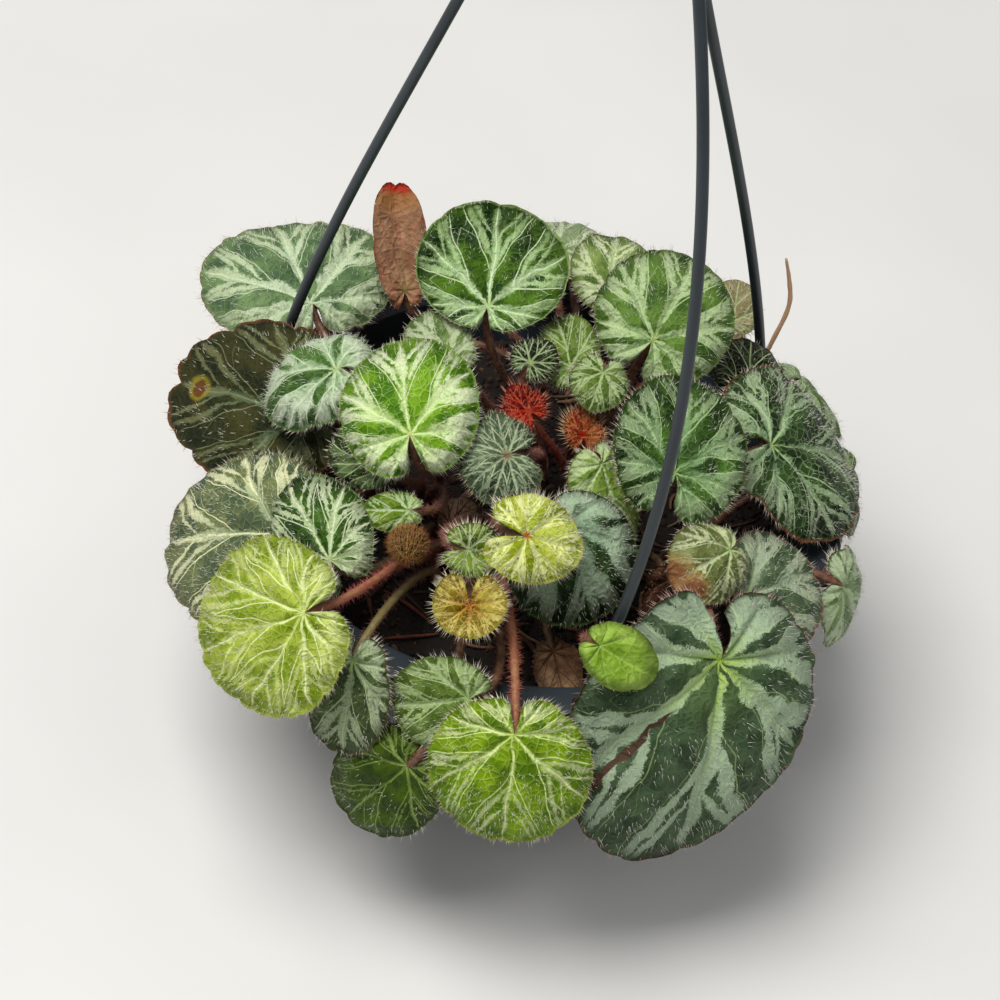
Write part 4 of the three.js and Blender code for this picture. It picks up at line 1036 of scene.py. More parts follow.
def add_stem_hairs(shell, leaf, random):
    skin = skin_of(leaf)
    per_length, length = skin["stem_hair"]
    bare = stem_path(leaf)[FOOT_STEPS:]
    span = np.linalg.norm(np.diff(bare, axis=0), axis=1).sum()
    count = int(per_length * span)
    along, side, other = path_frames(bare)
    place = random.uniform(0, len(bare) - 1.001, count)
    index = place.astype(int)
    part = (place - index)[:, None]
    centre = bare[index] * (1 - part) + bare[index + 1] * part
    turn = random.uniform(0, 2 * np.pi, (count, 1))
    out = side[index] * np.cos(turn) + other[index] * np.sin(turn)
    shaken = random.normal(*STEM_HAIR_LEAN, (count, 1))
    lean = along[index] * shaken + random.normal(size=(count, 3)) * STEM_HAIR_DISORDER
    lengths = length * random.uniform(*FRINGE_LENGTHS, count)
    roots = centre + out * STEM_RADIUS * STEM_HAIR_ROOT
    add_hairs(shell, roots, out + lean, lengths, HAIR_RADIUS, skin["stem_hair_tone"], random)


def make_leaf(leaf, index, materials):
    random = np.random.default_rng(FIRST_SEED + index)
    shell = Shell()
    add_blade(shell, leaf, index * SEED_STEP)
    add_stem(shell, leaf)
    add_stem_hairs(shell, leaf, random)
    add_blade_hairs(shell, leaf, random)
    add_fringe(shell, leaf, random)
    own = dict(skin_of(leaf), seed=index * SEED_STEP, half=leaf["size"][1] / 2)
    skin = leaf_material(leaf["name"], own)
    piece = shell.build(leaf["name"] + "_look", [skin, materials["stem"], materials["hair"]])
    return declare(piece, leaf["name"])


def add_bud_ball(shell, centre, seed):
    rows = np.linspace(-math.pi / 2, math.pi / 2, BUD_ROWS)
    profile = [(BUD_RADIUS * math.cos(row), BUD_RADIUS * BUD_FLATTENING * math.sin(row)) for row in rows]
    points, triangles = turned(profile, BUD_SIDES)
    turn = np.arctan2(points[:, 1], points[:, 0])
    high = points[:, 2]
    curled = 1 + BUD_RIPPLE * np.sin(BUD_RIPPLES * turn + BUD_TWIST * high)
    curled -= BUD_DENT * smooth(high, *BUD_DENT_HEIGHTS)
    leaf_data = np.stack([points[:, 0] * BUD_PATTERN, high * BUD_PATTERN, np.full(len(points), seed)], -1)
    blade = np.array([BUD_SHARE, 1, BUD_RADIUS * BUD_PATTERN])
    shell.add(points * curled[:, None] + centre, triangles, 0, leaf_data, blade)


def make_bud(index, materials):
    random = np.random.default_rng(FIRST_SEED + index)
    shell = Shell()
    centre = blade_origin(BUD)
    add_bud_ball(shell, centre, index * SEED_STEP)
    add_stem(shell, BUD)
    add_stem_hairs(shell, BUD, random)
    out = unit(random.normal(size=(BUD_HAIRS, 3)))
    roots = centre + out * (1, 1, BUD_FLATTENING) * (BUD_RADIUS * BUD_HAIR_ROOT)
    lean = random.normal(size=(BUD_HAIRS, 3)) * BUD_HAIR_DISORDER
    lengths = random.uniform(*BUD_HAIR_LENGTHS, BUD_HAIRS)
    add_hairs(shell, roots, out + lean, lengths, BUD_HAIR_RADIUS, skin_of(BUD)["hair_tone"], random)
    skin = leaf_material("young_bud", dict(skin_of(BUD), half=BUD_RADIUS))
    piece = shell.build("young_bud_look", [skin, materials["stem"], materials["hair"]])
    return declare(piece, "young_bud")


def make_runner(materials):
    bottom, surface = stem_foot(*RUNNER_FOOT)
    route = [surface, *(np.array(point, float) + (0, 0, POT_HEIGHT) for point in RUNNER_ROUTE)]
    foot = np.linspace(bottom, surface, RUNNER_FOOT_STEPS)[:-1]
    path = np.concatenate([foot, through(route, RUNNER_STEPS)])
    for _ in range(RUNNER_SMOOTHING):
        path[3:-1] = (path[2:-2] + path[3:-1] + path[4:]) / 3
    knots = RUNNER_KNOT * np.sin(np.arange(len(path)) * RUNNER_KNOT_TURN)
    radii = RUNNER_RADIUS * (RUNNER_SLIMNESS + knots)
    radii[-RUNNER_TIP:] *= np.linspace(1, RUNNER_TAPER, RUNNER_TIP)
    points, triangles = tube(path, radii, STEM_SIDES)
    shell = Shell()
    shell.add(points, triangles, 1, leaf=points, tone=linear(RUNNER_TONE))
    piece = shell.build("dry_runner_look", [materials["hair"], materials["stem"]])
    return declare(piece, "dry_runner")


# Hanger, pot and soil


def arm_angle(index):
    return math.radians(ARM_FIRST_ANGLE + 120 * index)


def arm_route(side, index):
    """The arm's path from its knob to the hub, and its direction at the rim."""
    angle = arm_angle(index)
    outward = np.array([math.cos(angle), math.sin(angle), 0])
    sideways = np.array([-math.sin(angle), math.cos(angle), 0])
    rim = outward * ARM_RING + (0, 0, POT_HEIGHT)
    hub = outward * HUB_RING + (0, 0, POT_HEIGHT + HANGER_RISE)
    out_bow, side_bow = ARM_BOWS[side]
    handles = [rim + (hub - rim) * share + outward * out_bow[i] + sideways * side_bow[i]
               for i, share in enumerate((1 / 3, 2 / 3))]
    start = unit(handles[0] - rim)
    curve = bezier(rim, handles[0], handles[1], hub, np.linspace(0, 1, ARM_STEPS))
    below = rim - start * KNOB_DROP
    return np.concatenate([np.linspace(below, rim, ARM_FOOT_STEPS)[:-1], curve]), below, start


def oriented(points, direction, place):
    """Points turned round Z, stood up along a direction instead, at a place."""
    side = unit(np.cross(direction, (1.0, 0.2, 0)))
    other = np.cross(direction, side)
    return points @ np.array([side, other, direction]) + place


def make_arm(side, index, material):
    path, below, start = arm_route(side, index)
    shell = Shell()
    shell.add(*tube(path, ARM_RADIUS, ROD_SIDES))
    profile = [(0, -KNOB_HEIGHT / 2), (KNOB_RADIUS * KNOB_TAPER, -KNOB_HEIGHT / 2),
               (KNOB_RADIUS, KNOB_HEIGHT / 2), (0, KNOB_HEIGHT / 2)]
    points, triangles = turned(rounded(profile, KNOB_ROUNDING), KNOB_SIDES)
    shell.add(oriented(points, start, below), triangles)
    piece = shell.build(f"hanger_arm_{side}_look", [material])
    return declare(piece, f"hanger_arm_{side}")


def make_hook(material):
    low, high = POT_HEIGHT + HANGER_RISE - HUB_BELOW, POT_HEIGHT + HANGER_RISE + HUB_ABOVE
    shell = Shell()
    profile = [(0, low), (HUB_RADIUS - HUB_CHAMFER / 2, low), (HUB_RADIUS, low + HUB_CHAMFER),
               (HUB_RADIUS, high - HUB_SHOULDER), (HOOK_WIRE + 1, high), (0, high)]
    shell.add(*turned(rounded(profile, HUB_ROUNDING), HUB_SIDES))
    centre = high + HOOK_NECK + HOOK_RADIUS
    turns = np.radians(np.linspace(0, HOOK_ARC, HOOK_ARC_STEPS))
    arc = np.stack([HOOK_RADIUS * np.cos(turns), 0 * turns, centre + HOOK_RADIUS * np.sin(turns)], -1)
    neck = np.array([0, 0, high + HOOK_NECK * HOOK_NECK_FOOT])
    rise = bezier(neck, np.array([0, 0, high + HOOK_NECK]), np.array([HOOK_RADIUS, 0, high + HOOK_NECK]),
                  arc[0], np.linspace(0, 1, HOOK_NECK_STEPS))
    path = np.concatenate([[[0, 0, high - HOOK_ROOT]], rise[:-1], arc])
    radii = np.full(len(path), HOOK_WIRE)
    radii[-len(HOOK_TIP):] = HOOK_WIRE * np.array(HOOK_TIP)
    shell.add(*tube(path, radii, ROD_SIDES))
    piece = shell.build("hanger_hook_look", [material])
    return declare(piece, "hanger_hook")


def cut(piece, tools, operation="DIFFERENCE"):
    for tool in tools:
        modifier = piece.modifiers.new("cut", "BOOLEAN")
        modifier.operation = operation
        modifier.object = tool
    depsgraph = bpy.context.evaluated_depsgraph_get()
    mesh = bpy.data.meshes.new_from_object(piece.evaluated_get(depsgraph))
    piece.modifiers.clear()
    piece.data = mesh
    for tool in tools:
        bpy.data.objects.remove(tool)


def make_lug(index, lip, outside):
    bpy.ops.mesh.primitive_cube_add(size=MM)
    lug = bpy.context.object
    lug.data.transform(Matrix.Diagonal((lip - outside + LUG_SINK, LUG_WIDTH, LUG_THICK, 1)))
    middle = ((lip + outside) / 2 * MM, 0, (POT_HEIGHT - LUG_THICK / 2 - LUG_SINK) * MM)
    lug.data.transform(Matrix.Rotation(arm_angle(index), 4, "Z") @ Matrix.Translation(middle))
    return lug


def arm_cutter(side, index):
    path = arm_route(side, index)[0]
    hole = Shell()
    hole.add(*tube(path[:HOLE_STEPS], ARM_RADIUS + FIT_GAP, ROD_SIDES))
    return hole.build("hole", [])


def drain_cutter(index):
    angle = index / DRAIN_COUNT * 2 * math.pi
    bpy.ops.mesh.primitive_cylinder_add(
        vertices=DRAIN_SIDES, radius=DRAIN_RADIUS * MM, depth=4 * POT_FLOOR * MM,
        location=(DRAIN_RING * MM * math.cos(angle), DRAIN_RING * MM * math.sin(angle), 0))
    return bpy.context.object


def make_pot(material):
    inside = RIM_FLANGE_IN - FLANGE_STEP
    outside = inside + WALL
    neck = POT_HEIGHT - NECK_BELOW_RIM
    flange, lip_low, lip = POT_HEIGHT - RIM_FLANGE_THICK, POT_HEIGHT - RIM_LIP_DROP, RIM_RADIUS - WALL
    profile = [(0, 0), (BASE_RADIUS - BASE_CHAMFER, 0), (BASE_RADIUS, BASE_CHAMFER),
               (outside - NECK_STEP_IN, neck), (outside, neck + NECK_STEP_HIGH),
               (outside, flange), (lip, flange), (lip, lip_low), (RIM_RADIUS, lip_low),
               (RIM_RADIUS, POT_HEIGHT), (inside, POT_HEIGHT), (inside, neck + NECK_STEP_HIGH),
               (inside - NECK_STEP_IN, neck), (BASE_RADIUS - WALL, POT_FLOOR), (0, POT_FLOOR)]
    shell = Shell()
    shell.add(*turned(rounded(profile, POT_ROUNDING), POT_SIDES))
    pot = shell.build("pot_look", [material])
    cut(pot, [make_lug(index, lip, outside) for index in range(len(ARM_BOWS))], "UNION")
    holes = [arm_cutter(side, index) for index, side in enumerate(ARM_BOWS)]
    cut(pot, holes + [drain_cutter(index) for index in range(DRAIN_COUNT)])
    pot.data.shade_smooth()
    pot.data.set_sharp_from_angle(angle=math.radians(SHARP_ANGLE))
    return declare(pot, "pot")


def bumps(x, y, random, waves, size):
    """A rough surface of many crossed waves."""
    total = np.zeros_like(x)
    for _ in range(waves):
        heading = random.uniform(0, 2 * math.pi)
        length = size * random.uniform(0.5, 2.2)
        phase = (x * math.cos(heading) + y * math.sin(heading)) * 2 * math.pi / length
        total += np.sin(phase + random.uniform(0, 2 * math.pi))
    return total / math.sqrt(waves)


def crumb(random):
    """One rough crumb about 1 mm across: a shaken icosahedron."""
    golden = (1 + 5 ** 0.5) / 2
    corners = [(-1, golden, 0), (1, golden, 0), (-1, -golden, 0), (1, -golden, 0),
               (0, -1, golden), (0, 1, golden), (0, -1, -golden), (0, 1, -golden),
               (golden, 0, -1), (golden, 0, 1), (-golden, 0, -1), (-golden, 0, 1)]
    faces = [(0, 11, 5), (0, 5, 1), (0, 1, 7), (0, 7, 10), (0, 10, 11),
             (1, 5, 9), (5, 11, 4), (11, 10, 2), (10, 7, 6), (7, 1, 8),
             (3, 9, 4), (3, 4, 2), (3, 2, 6), (3, 6, 8), (3, 8, 9),
             (4, 9, 5), (2, 4, 11), (6, 2, 10), (8, 6, 7), (9, 8, 1)]
    points = unit(np.array(corners, float)) * random.uniform(*CRUMB_ROUGHNESS, (12, 1))
    turn = np.linalg.qr(random.normal(size=(3, 3)))[0]
    return points * random.uniform(*CRUMB_STRETCH, 3) @ turn, np.array(faces)


def add_crumbs(shell, edge, random):
    for _ in range(CRUMB_COUNT):
        radius = (edge - CRUMB_MARGIN) * math.sqrt(random.uniform(0, 1))
        angle = random.uniform(0, 2 * math.pi)
        x, y = radius * math.cos(angle), radius * math.sin(angle)
        points, triangles = crumb(random)
        size = random.choice(CRUMB_SIZES, p=CRUMB_SIZE_ODDS)
        place = np.array([x, y, soil_height(x, y) - CRUMB_SINK])
        tone = linear(random.choice(CRUMB_TONES, p=CRUMB_TONE_ODDS))
        shell.add(points * size + place, triangles, tone=tone)


def add_litter(shell, edge, random):
    """Dry stalks and scraps that lie on the soil."""
    for _ in range(LITTER_COUNT):
        radius = (edge - LITTER_MARGIN) * math.sqrt(random.uniform(0, 1))
        angle, heading = random.uniform(0, 2 * math.pi, 2)
        middle = np.array([radius * math.cos(angle), radius * math.sin(angle)])
        half = random.uniform(*LITTER_HALF_LENGTHS)
        span = np.linspace(-1, 1, LITTER_STEPS)[:, None]
        along = np.array([math.cos(heading), math.sin(heading)])
        across = np.array([-along[1], along[0]])
        flat = middle + span * half * along + span ** 2 * random.uniform(-LITTER_BEND, LITTER_BEND) * across
        thick = random.uniform(*LITTER_RADII)
        inward = 1 - span[:, 0] ** 2
        lift = soil_height(flat[:, 0], flat[:, 1]) + thick * 0.6 + random.uniform(0, LITTER_LIFT) * inward
        path = np.concatenate([flat, lift[:, None]], 1)
        points, triangles = tube(path, thick * (1 - LITTER_TAPER + LITTER_TAPER * inward), LITTER_SIDES)
        tone = LITTER_TONES[random.integers(len(LITTER_TONES))]
        shell.add(points, triangles, tone=linear(tone))


def make_soil(material):
    random = np.random.default_rng(SOIL_SEED)
    low = BASE_RADIUS - WALL - SOIL_GAP
    wall_high = POT_HEIGHT - NECK_BELOW_RIM - POT_FLOOR
    slope = (RIM_FLANGE_IN - FLANGE_STEP - NECK_STEP_IN - BASE_RADIUS + WALL) / wall_high
    floor = POT_FLOOR + SOIL_GAP
    edge = low + slope * (SOIL_EDGE_HEIGHT - POT_FLOOR)
    shares = np.linspace(1, 0.01, SOIL_RINGS)
    rings = [(low + slope * SOIL_GAP, floor), *((edge * share, None) for share in shares)]
    turn = full_turn(SOIL_SIDES)
    rows = []
    for radius, height in rings:
        x, y = radius * np.cos(turn), radius * np.sin(turn)
        if height is None:
            waves = bumps(x, y, np.random.default_rng(SOIL_BUMP_SEED), SOIL_BUMP_WAVES, SOIL_BUMP_SIZE)
            rough = SOIL_BUMP_HEIGHT * waves - SOIL_BUMP_SINK
            height = soil_height(x, y) + rough * min(1, (edge - radius) / 2 + 0.2)
        rows.append(np.stack([x, y, np.broadcast_to(height, x.shape)], -1))
    ends = [[0, 0, floor], [0, 0, rows[-1][:, 2].mean()]]
    shell = Shell()
    shell.add(*closed_skin(np.array(rows), ends), tone=linear(SOIL_TONE))
    add_crumbs(shell, edge, random)
    add_litter(shell, edge, random)
    piece = shell.build("soil_look", [material])
    return declare(piece, "soil")


# Materials


class Wire:
    """A number inside a material. Arithmetic on it adds maths nodes."""

    def __init__(self, tree, socket):
        self.tree = tree
        self.socket = socket

    def _maths(self, operation, other=None, third=None):
        return self.tree.maths(operation, self, other, third)

    def __add__(self, other):
        return self._maths("ADD", other)

    def __sub__(self, other):
        return self._maths("SUBTRACT", other)

    def __mul__(self, other):
        return self._maths("MULTIPLY", other)

    def __truediv__(self, other):
        return self._maths("DIVIDE", other)

    def least(self, other):
        return self._maths("MINIMUM", other)

    def most(self, other):
        return self._maths("MAXIMUM", other)

    def size(self):
        return self._maths("ABSOLUTE")

    def step(self, low, high):
        """0 below low, 1 above high (or the other way round), smooth between."""
        node = self.tree.add("ShaderNodeMapRange", interpolation_type="SMOOTHSTEP")
        self.tree.put(node.inputs["Value"], self)
        flip = low > high
        node.inputs["From Min"].default_value = min(low, high)
        node.inputs["From Max"].default_value = max(low, high)
        node.inputs["To Min"].default_value = 1.0 if flip else 0.0
        node.inputs["To Max"].default_value = 0.0 if flip else 1.0
        return Wire(self.tree, node.outputs["Result"])


class Tree:
    """The nodes of one material."""

    def __init__(self, name):
        self.material = bpy.data.materials.new(name)
        self.material.use_nodes = True
        self.tree = self.material.node_tree
        self.shader = self.tree.nodes["Principled BSDF"]

    def add(self, kind, **settings):
        node = self.tree.nodes.new(kind)
        for key, value in settings.items():
            setattr(node, key, value)
        return node

    def put(self, socket, value):
        value = value.socket if isinstance(value, Wire) else value
        if isinstance(value, bpy.types.NodeSocket):
            self.tree.links.new(value, socket)
        elif socket.type == "RGBA":
            socket.default_value = (*linear(value), 1)
        else:
            socket.default_value = value

    def maths(self, operation, a, b=None, c=None):
        node = self.add("ShaderNodeMath", operation=operation)
        for socket, value in zip(node.inputs, (a, b, c)):
            if value is not None:
                self.put(socket, value)
        return Wire(self, node.outputs[0])

    def attribute(self, name):
        return self.add("ShaderNodeAttribute", attribute_name=name).outputs["Vector"]

    def place_in_mm(self):
        return self.vectors("SCALE", self.add("ShaderNodeTexCoord").outputs["Object"], scale=1 / MM)

    def split(self, vector):
        node = self.add("ShaderNodeSeparateXYZ")
        self.put(node.inputs[0], vector)
        return [Wire(self, socket) for socket in node.outputs]

    def vectors(self, operation, a, b=None, scale=None, output="Vector"):
        node = self.add("ShaderNodeVectorMath", operation=operation)
        self.put(node.inputs[0], a)
        if b is not None:
            self.put(node.inputs[1], b)
        if scale is not None:
            self.put(node.inputs["Scale"], scale)
        return node.outputs[output]

    def noise(self, vector, scale, detail=2.0):
        node = self.add("ShaderNodeTexNoise")
        self.put(node.inputs["Vector"], vector)
        node.inputs["Scale"].default_value = scale
        node.inputs["Detail"].default_value = detail
        return node

    def voronoi(self, vector, scale, feature="F1"):
        node = self.add("ShaderNodeTexVoronoi", feature=feature)
        self.put(node.inputs["Vector"], vector)
        node.inputs["Scale"].default_value = scale
        return node

    def mix(self, factor, a, b):
        node = self.add("ShaderNodeMix", data_type="RGBA")
        self.put(node.inputs[0], factor)
        self.put(node.inputs[6], a)
        self.put(node.inputs[7], b)
        return node.outputs[2]

    def vivid(self, colour, saturation, brightness):
        node = self.add("ShaderNodeHueSaturation")
        self.put(node.inputs["Color"], colour)
        node.inputs["Saturation"].default_value = saturation
        node.inputs["Value"].default_value = brightness
        return node.outputs["Color"]

    def bump(self, height, distance, strength=1.0):
        node = self.add("ShaderNodeBump")
        self.put(node.inputs["Height"], height)
        node.inputs["Distance"].default_value = distance
        node.inputs["Strength"].default_value = strength
        self.tree.links.new(node.outputs[0], self.shader.inputs["Normal"])

    def finish(self, colour, **sockets):
        self.put(self.shader.inputs["Base Color"], colour)
        for name, value in sockets.items():
            self.shader.inputs[name.replace("_", " ")].default_value = value
        return self.material


def veins(tree, place, reach, count, fork_at):
    """How far out a point lies, and its distance from the nearest vein of each order, in millimetres."""
    x, y, _ = tree.split(place)
    angle = tree.maths("ARCTAN2", y, x)
    radius = tree.maths("SQRT", x * x + y * y).most(0.2)
    spacing = 2 * WIDEST / count
    off = tree.maths("WRAP", angle, spacing / 2, -spacing / 2).size()

    def fork(offset, start, lean):
        share = (reach * start / radius).least(1.0) * math.sin(lean)
        return (offset - (tree.maths("ARCSINE", share) * -1 + lean)).size()

    first = fork(off, fork_at, FORK_LEAN)
    second = fork(off, SECOND_FORK_AT, SECOND_FORK_LEAN)
    twig = fork(first, TWIG_AT, TWIG_LEAN)
    return (radius / reach).least(1.0), off * radius, first * radius, second * radius, twig * radius


def vein_lines(tree, place, reach, count):
    """The pale lines that run in the veins, strong ones and fine ones, and how far out they are."""
    out, main, first, second, twig = veins(tree, place, reach, count, FORK_AT)
    strong = main / (out * -VEIN_NARROWING + VEIN_WIDTH)
    strong = strong.least(first / (out * -FORK_NARROWING + FORK_WIDTH)).step(*VEIN_EDGES)
    fine = second.least(twig).step(*FINE_VEIN_WIDTHS)
    return strong, fine, out


def silver_zones(tree, place, reach, skin):
    """The silver along the veins, below 1 inside: it swells towards the forks and thins to the margin."""
    out, main, first, second, _ = veins(tree, place, reach, skin["veins"], SILVER_FORK_AT)
    width = skin["half"] * skin["silver_width"]

    def swell(middle, span, least):
        bend = (out - middle) / span
        return (bend * bend * -1 + 1).most(least)

    orders = zip((main, first, second), SILVER_SWELLS, SILVER_SHARES)
    zones = [vein / (swell(*where) * (share * width)) for vein, where, share in orders]
    return zones[0].least(zones[1]).least(zones[2])


def crease_line(tree, place, out, patchy, crease):
    """A dried line along a fold, from partway out to the margin."""
    x, y, _ = tree.split(place)
    off = tree.maths("ARCTAN2", y, x) - math.radians(crease[0])
    wide = (patchy - CREASE_PATCHES).most(0.0) * CREASE_SPREAD + CREASE_WIDTH
    return (off / wide).size().step(*CREASE_SOFTNESS) * out.step(*CREASE_START)


def specked(tree, colour, place, amount):
    """The colour with dark specks in some of many cells."""
    spots = tree.voronoi(place, SPECK_SCALE)
    near = Wire(tree, spots.outputs["Distance"]).step(*SPECK_EDGES)
    chosen = tree.split(spots.outputs["Color"])[0].step(*SPECK_CHANCE)
    return tree.mix(near * chosen * amount, colour, SPECK_TONE)


def blemished(tree, colour, place, patchy, skin):
    """The colour with the skin's dried spots, each in its halo."""
    for along, across, radius in skin["blemish"]:
        away = tree.vectors("DISTANCE", place, (along, across, skin["seed"]), output="Value")
        rough = Wire(tree, away) + (patchy - 0.5) * radius
        halo = rough.step(*(radius * edge for edge in HALO_EDGES)) * HALO_AMOUNT
        colour = tree.mix(halo, colour, skin["halo"])
        spot = rough.step(*(radius * edge for edge in BLEMISH_EDGES)) * BLEMISH_AMOUNT
        colour = tree.mix(spot, colour, skin["blemish_tone"])
    return colour


def silver_amount(tree, place, share, reach, patchy, grain, skin):
    """Where the silver lies: ragged zones along the veins, which end short of the margin."""
    cells = tree.voronoi(place, CELL_SCALE)
    ragged = tree.vectors("ADD", tree.vectors("SCALE", cells.outputs["Position"], scale=CELL_PULL),
                          tree.vectors("SCALE", place, scale=1 - CELL_PULL))
    zone = silver_zones(tree, ragged, reach, skin)
    zone = zone + (patchy - 0.5) * skin["patch"] + (grain - 0.5) * GRAIN_IN_SILVER
    return zone.step(1 + skin["soft"], 1 - skin["soft"]) * share.step(*SILVER_END)


def leaf_material(name, skin):
    tree = Tree("skin_" + name)
    leaf = tree.attribute("leaf")
    share, upper, reach = tree.split(tree.attribute("blade"))
    shake = tree.vectors("SUBTRACT", tree.noise(leaf, WARP_SCALE, 2).outputs["Color"], (0.5, 0.5, 0.5))
    warped = tree.vectors("ADD", leaf, tree.vectors("SCALE", shake, scale=skin["half"] * WARP_REACH))
    line, fine_line, out = vein_lines(tree, warped, reach, skin["veins"])

    patchy = Wire(tree, tree.noise(leaf, PATCH_SCALE, 4).outputs["Fac"])
    grain = Wire(tree, tree.noise(leaf, GRAIN_SCALE, 3).outputs["Fac"])
    silver = silver_amount(tree, warped, share, reach, patchy, grain, skin)
    edges = Wire(tree, tree.voronoi(warped, NET_SCALE, "DISTANCE_TO_EDGE").outputs["Distance"])
    net = edges.step(*NET_WIDTHS) * (patchy.step(*NET_PATCHES) * (1 - NET_LEAST) + NET_LEAST)
    cloud = Wire(tree, tree.noise(leaf, CLOUD_SCALE, 4).outputs["Fac"]).step(*CLOUD_EDGES)

    colour = tree.mix(cloud, *skin["cell"])
    colour = tree.mix(net * skin["net_amount"], colour, skin["net"])
    metal = tree.mix(out.step(*SILVER_CHANGE), *skin["silver"])
    grainy = silver * (grain.step(*GRAIN_EDGES) * (1 - GRAIN_LEAST) + GRAIN_LEAST)
    colour = tree.mix(grainy * skin["silver_amount"], colour, metal)
    # Painted shade: the margin darkened in patches towards a darker copy of the cell colour
    dark = tuple(PAINTED_SHADE_TONE * value for value in skin["cell"][0])
    painted_margin_shade = share.step(*PAINTED_SHADE_REACH) * (patchy.step(*PAINTED_SHADE_PATCHES) * (1 - PAINTED_SHADE_LEAST) + PAINTED_SHADE_LEAST)
    colour = tree.mix(painted_margin_shade * skin["shade"], colour, dark)
    lines = line.most(fine_line * FINE_VEIN_AMOUNT) * share.step(*VEIN_END)
    colour = tree.mix(lines * skin["vein_amount"], colour, skin["vein"])
    glow, far = skin["heart"]
    along_veins = line.most(silver * HEART_IN_SILVER) * (1 - HEART_LEAST) + HEART_LEAST
    near = out.step(far, far * HEART_CORE) * along_veins
    colour = tree.mix(near * skin["heart_amount"], colour, glow)
    rim = (share + (patchy - 0.5) * RIM_UNEVENNESS).step(*RIM_EDGES)
    colour = tree.mix(rim * skin["rim_amount"], colour, skin["rim"])
    if skin["specks"]:
        colour = specked(tree, colour, leaf, skin["specks"])
    colour = blemished(tree, colour, warped, patchy, skin)
    colour = tree.mix(upper.step(*FACE_EDGES) * UNDERSIDE_AMOUNT, colour, skin["under"])
    if skin["crease"]:
        dried = crease_line(tree, warped, out, patchy, skin["crease"])
        colour = tree.mix(dried, colour, skin["blemish_tone"])
    colour = tree.vivid(colour, LEAF_SATURATION, LEAF_BRIGHTNESS)
    tree.bump(edges.step(*RELIEF_EDGES) * RELIEF_NET + grain * RELIEF_GRAIN, RELIEF_DEPTH)
    return tree.finish(colour, Roughness=skin["gloss"], Specular_IOR_Level=LEAF_SPECULAR)


def stem_material():
    tree = Tree("leaf_stem")
    leaf = tree.attribute("leaf")
    blotch = Wire(tree, tree.noise(leaf, 0.5, 3).outputs["Fac"]).step(0.35, 0.7)
    colour = tree.mix(blotch * 0.35, tree.attribute("tone"), STEM_BLOTCH_TONE)
    tree.bump(Wire(tree, tree.noise(leaf, 2.0, 2).outputs["Fac"]), 0.0003, 0.6)
    return tree.finish(colour, Roughness=0.5)


def hair_material():
    tree = Tree("fine_hair")
    return tree.finish(tree.attribute("tone"), Roughness=0.4)


def soil_material():
    tree = Tree("dark_compost")
    place = tree.place_in_mm()
    grain = Wire(tree, tree.noise(place, 0.9, 4).outputs["Fac"])
    colour = tree.mix(grain.step(0.45, 0.8) * 0.5, tree.attribute("tone"), SOIL_GRAIN_TONE)
    tree.bump(grain, 0.0009, 0.9)
    return tree.finish(colour, Roughness=0.92)


def plastic_material():
    tree = Tree("slate_plastic")
    place = tree.place_in_mm()
    cloud = Wire(tree, tree.noise(place, 0.05, 3).outputs["Fac"]).step(0.3, 0.7)
    scuff = Wire(tree, tree.noise(place, 1.6, 4).outputs["Fac"])
    colour = tree.mix(cloud, *PLASTIC_TONES)
    colour = tree.mix(scuff.step(0.6, 0.8) * 0.25, colour, SCUFF_TONE)
    tree.put(tree.shader.inputs["Roughness"], scuff * 0.2 + 0.34)
    tree.bump(scuff, 0.0001, 0.35)
    return tree.finish(colour)


def floor_material():
    tree = Tree("pale_floor")
    place = tree.add("ShaderNodeTexCoord").outputs["Object"]
    cloud = Wire(tree, tree.noise(place, 6, 3).outputs["Fac"]).step(0.3, 0.7)
    return tree.finish(tree.mix(cloud, *FLOOR_TONES), Roughness=0.8)


# Stage


def standing(axes, place):
    """The matrix that stands a thing at a place, its axes in columns."""
    return Matrix([(*row, part) for row, part in zip(axes, place)] + [(0, 0, 0, 1)])


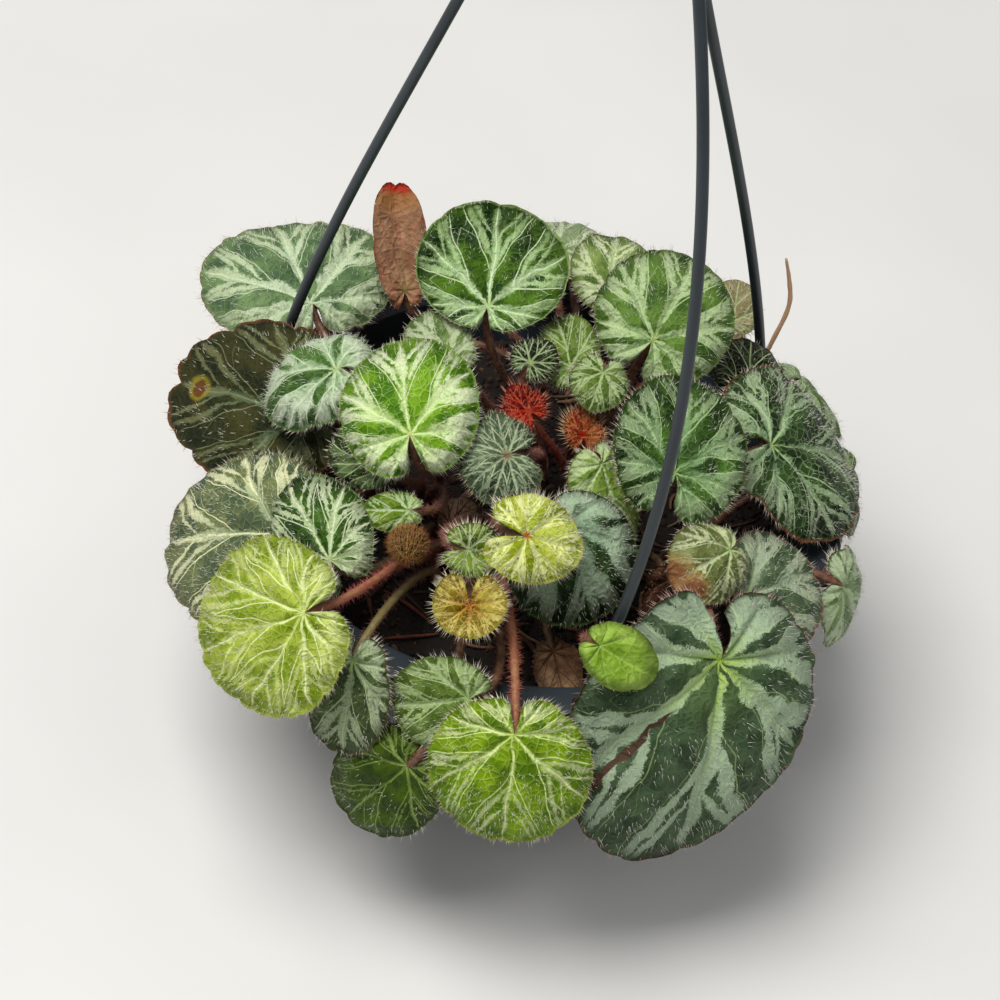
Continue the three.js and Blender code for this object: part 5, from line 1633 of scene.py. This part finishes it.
def make_camera():
    elevation, roll = math.radians(CAMERA_ELEVATION), math.radians(CAMERA_ROLL)
    back = np.array([0, -math.cos(elevation), math.sin(elevation)])
    right = np.array([1.0, 0, 0])
    up = np.cross(back, right)
    across = right * math.cos(roll) + up * math.sin(roll)
    upward = -right * math.sin(roll) + up * math.cos(roll)
    per_pixel = CAMERA_DISTANCE / CAMERA_FOCUS_PIXELS
    offset_x = (RIM_CENTRE_PIXEL[0] - IMAGE_SIZE / 2) * per_pixel
    offset_y = (RIM_CENTRE_PIXEL[1] - IMAGE_SIZE / 2) * per_pixel
    place = np.array([0, 0, POT_HEIGHT]) + back * CAMERA_DISTANCE - across * offset_x + upward * offset_y
    data = bpy.data.cameras.new("camera")
    data.sensor_width = SENSOR_WIDTH
    data.lens = CAMERA_FOCUS_PIXELS / IMAGE_SIZE * data.sensor_width
    data.clip_start = NEAREST_SEEN
    camera = bpy.data.objects.new("camera", data)
    camera.matrix_world = standing(np.stack([across, upward, back], 1), place * MM)
    bpy.context.scene.collection.objects.link(camera)
    bpy.context.scene.camera = camera


def make_light(name, place, size, power, colour):
    data = bpy.data.lights.new(name, "AREA")
    data.size = size
    data.energy = power
    data.color = colour
    light = bpy.data.objects.new(name, data)
    place = np.array(place, float)
    z = unit(place - np.array(LIGHT_AIM))
    x = unit(np.cross((0, 0, 1.0), z))
    y = np.cross(z, x)
    light.matrix_world = standing(np.stack([x, y, z], 1), place)
    bpy.context.scene.collection.objects.link(light)


def make_stage():
    bpy.ops.mesh.primitive_plane_add(size=FLOOR_SIZE, location=(0, 0, -FLOOR_DROP))
    floor = bpy.context.object
    floor.name = "floor"
    floor.data.materials.append(floor_material())
    world = bpy.data.worlds.new("world")
    bpy.context.scene.world = world
    world.use_nodes = True
    background = world.node_tree.nodes["Background"]
    background.inputs["Color"].default_value = (1.0, 1.0, 1.0, 1)
    background.inputs["Strength"].default_value = SKY_STRENGTH
    for name, light in LIGHTS.items():
        make_light(name, **light)
    bpy.context.scene.view_settings.view_transform = "Standard"


def main():
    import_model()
    make_camera()
    make_stage()
    materials = {"stem": stem_material(), "hair": hair_material()}
    plastic = plastic_material()
    make_pot(plastic)
    make_soil(soil_material())
    for index, side in enumerate(ARM_BOWS):
        make_arm(side, index, plastic)
    make_hook(plastic)
    for index, leaf in enumerate(LEAVES):
        make_leaf(leaf, index, materials)
    make_bud(len(LEAVES), materials)
    make_runner(materials)
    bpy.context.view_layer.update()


main()
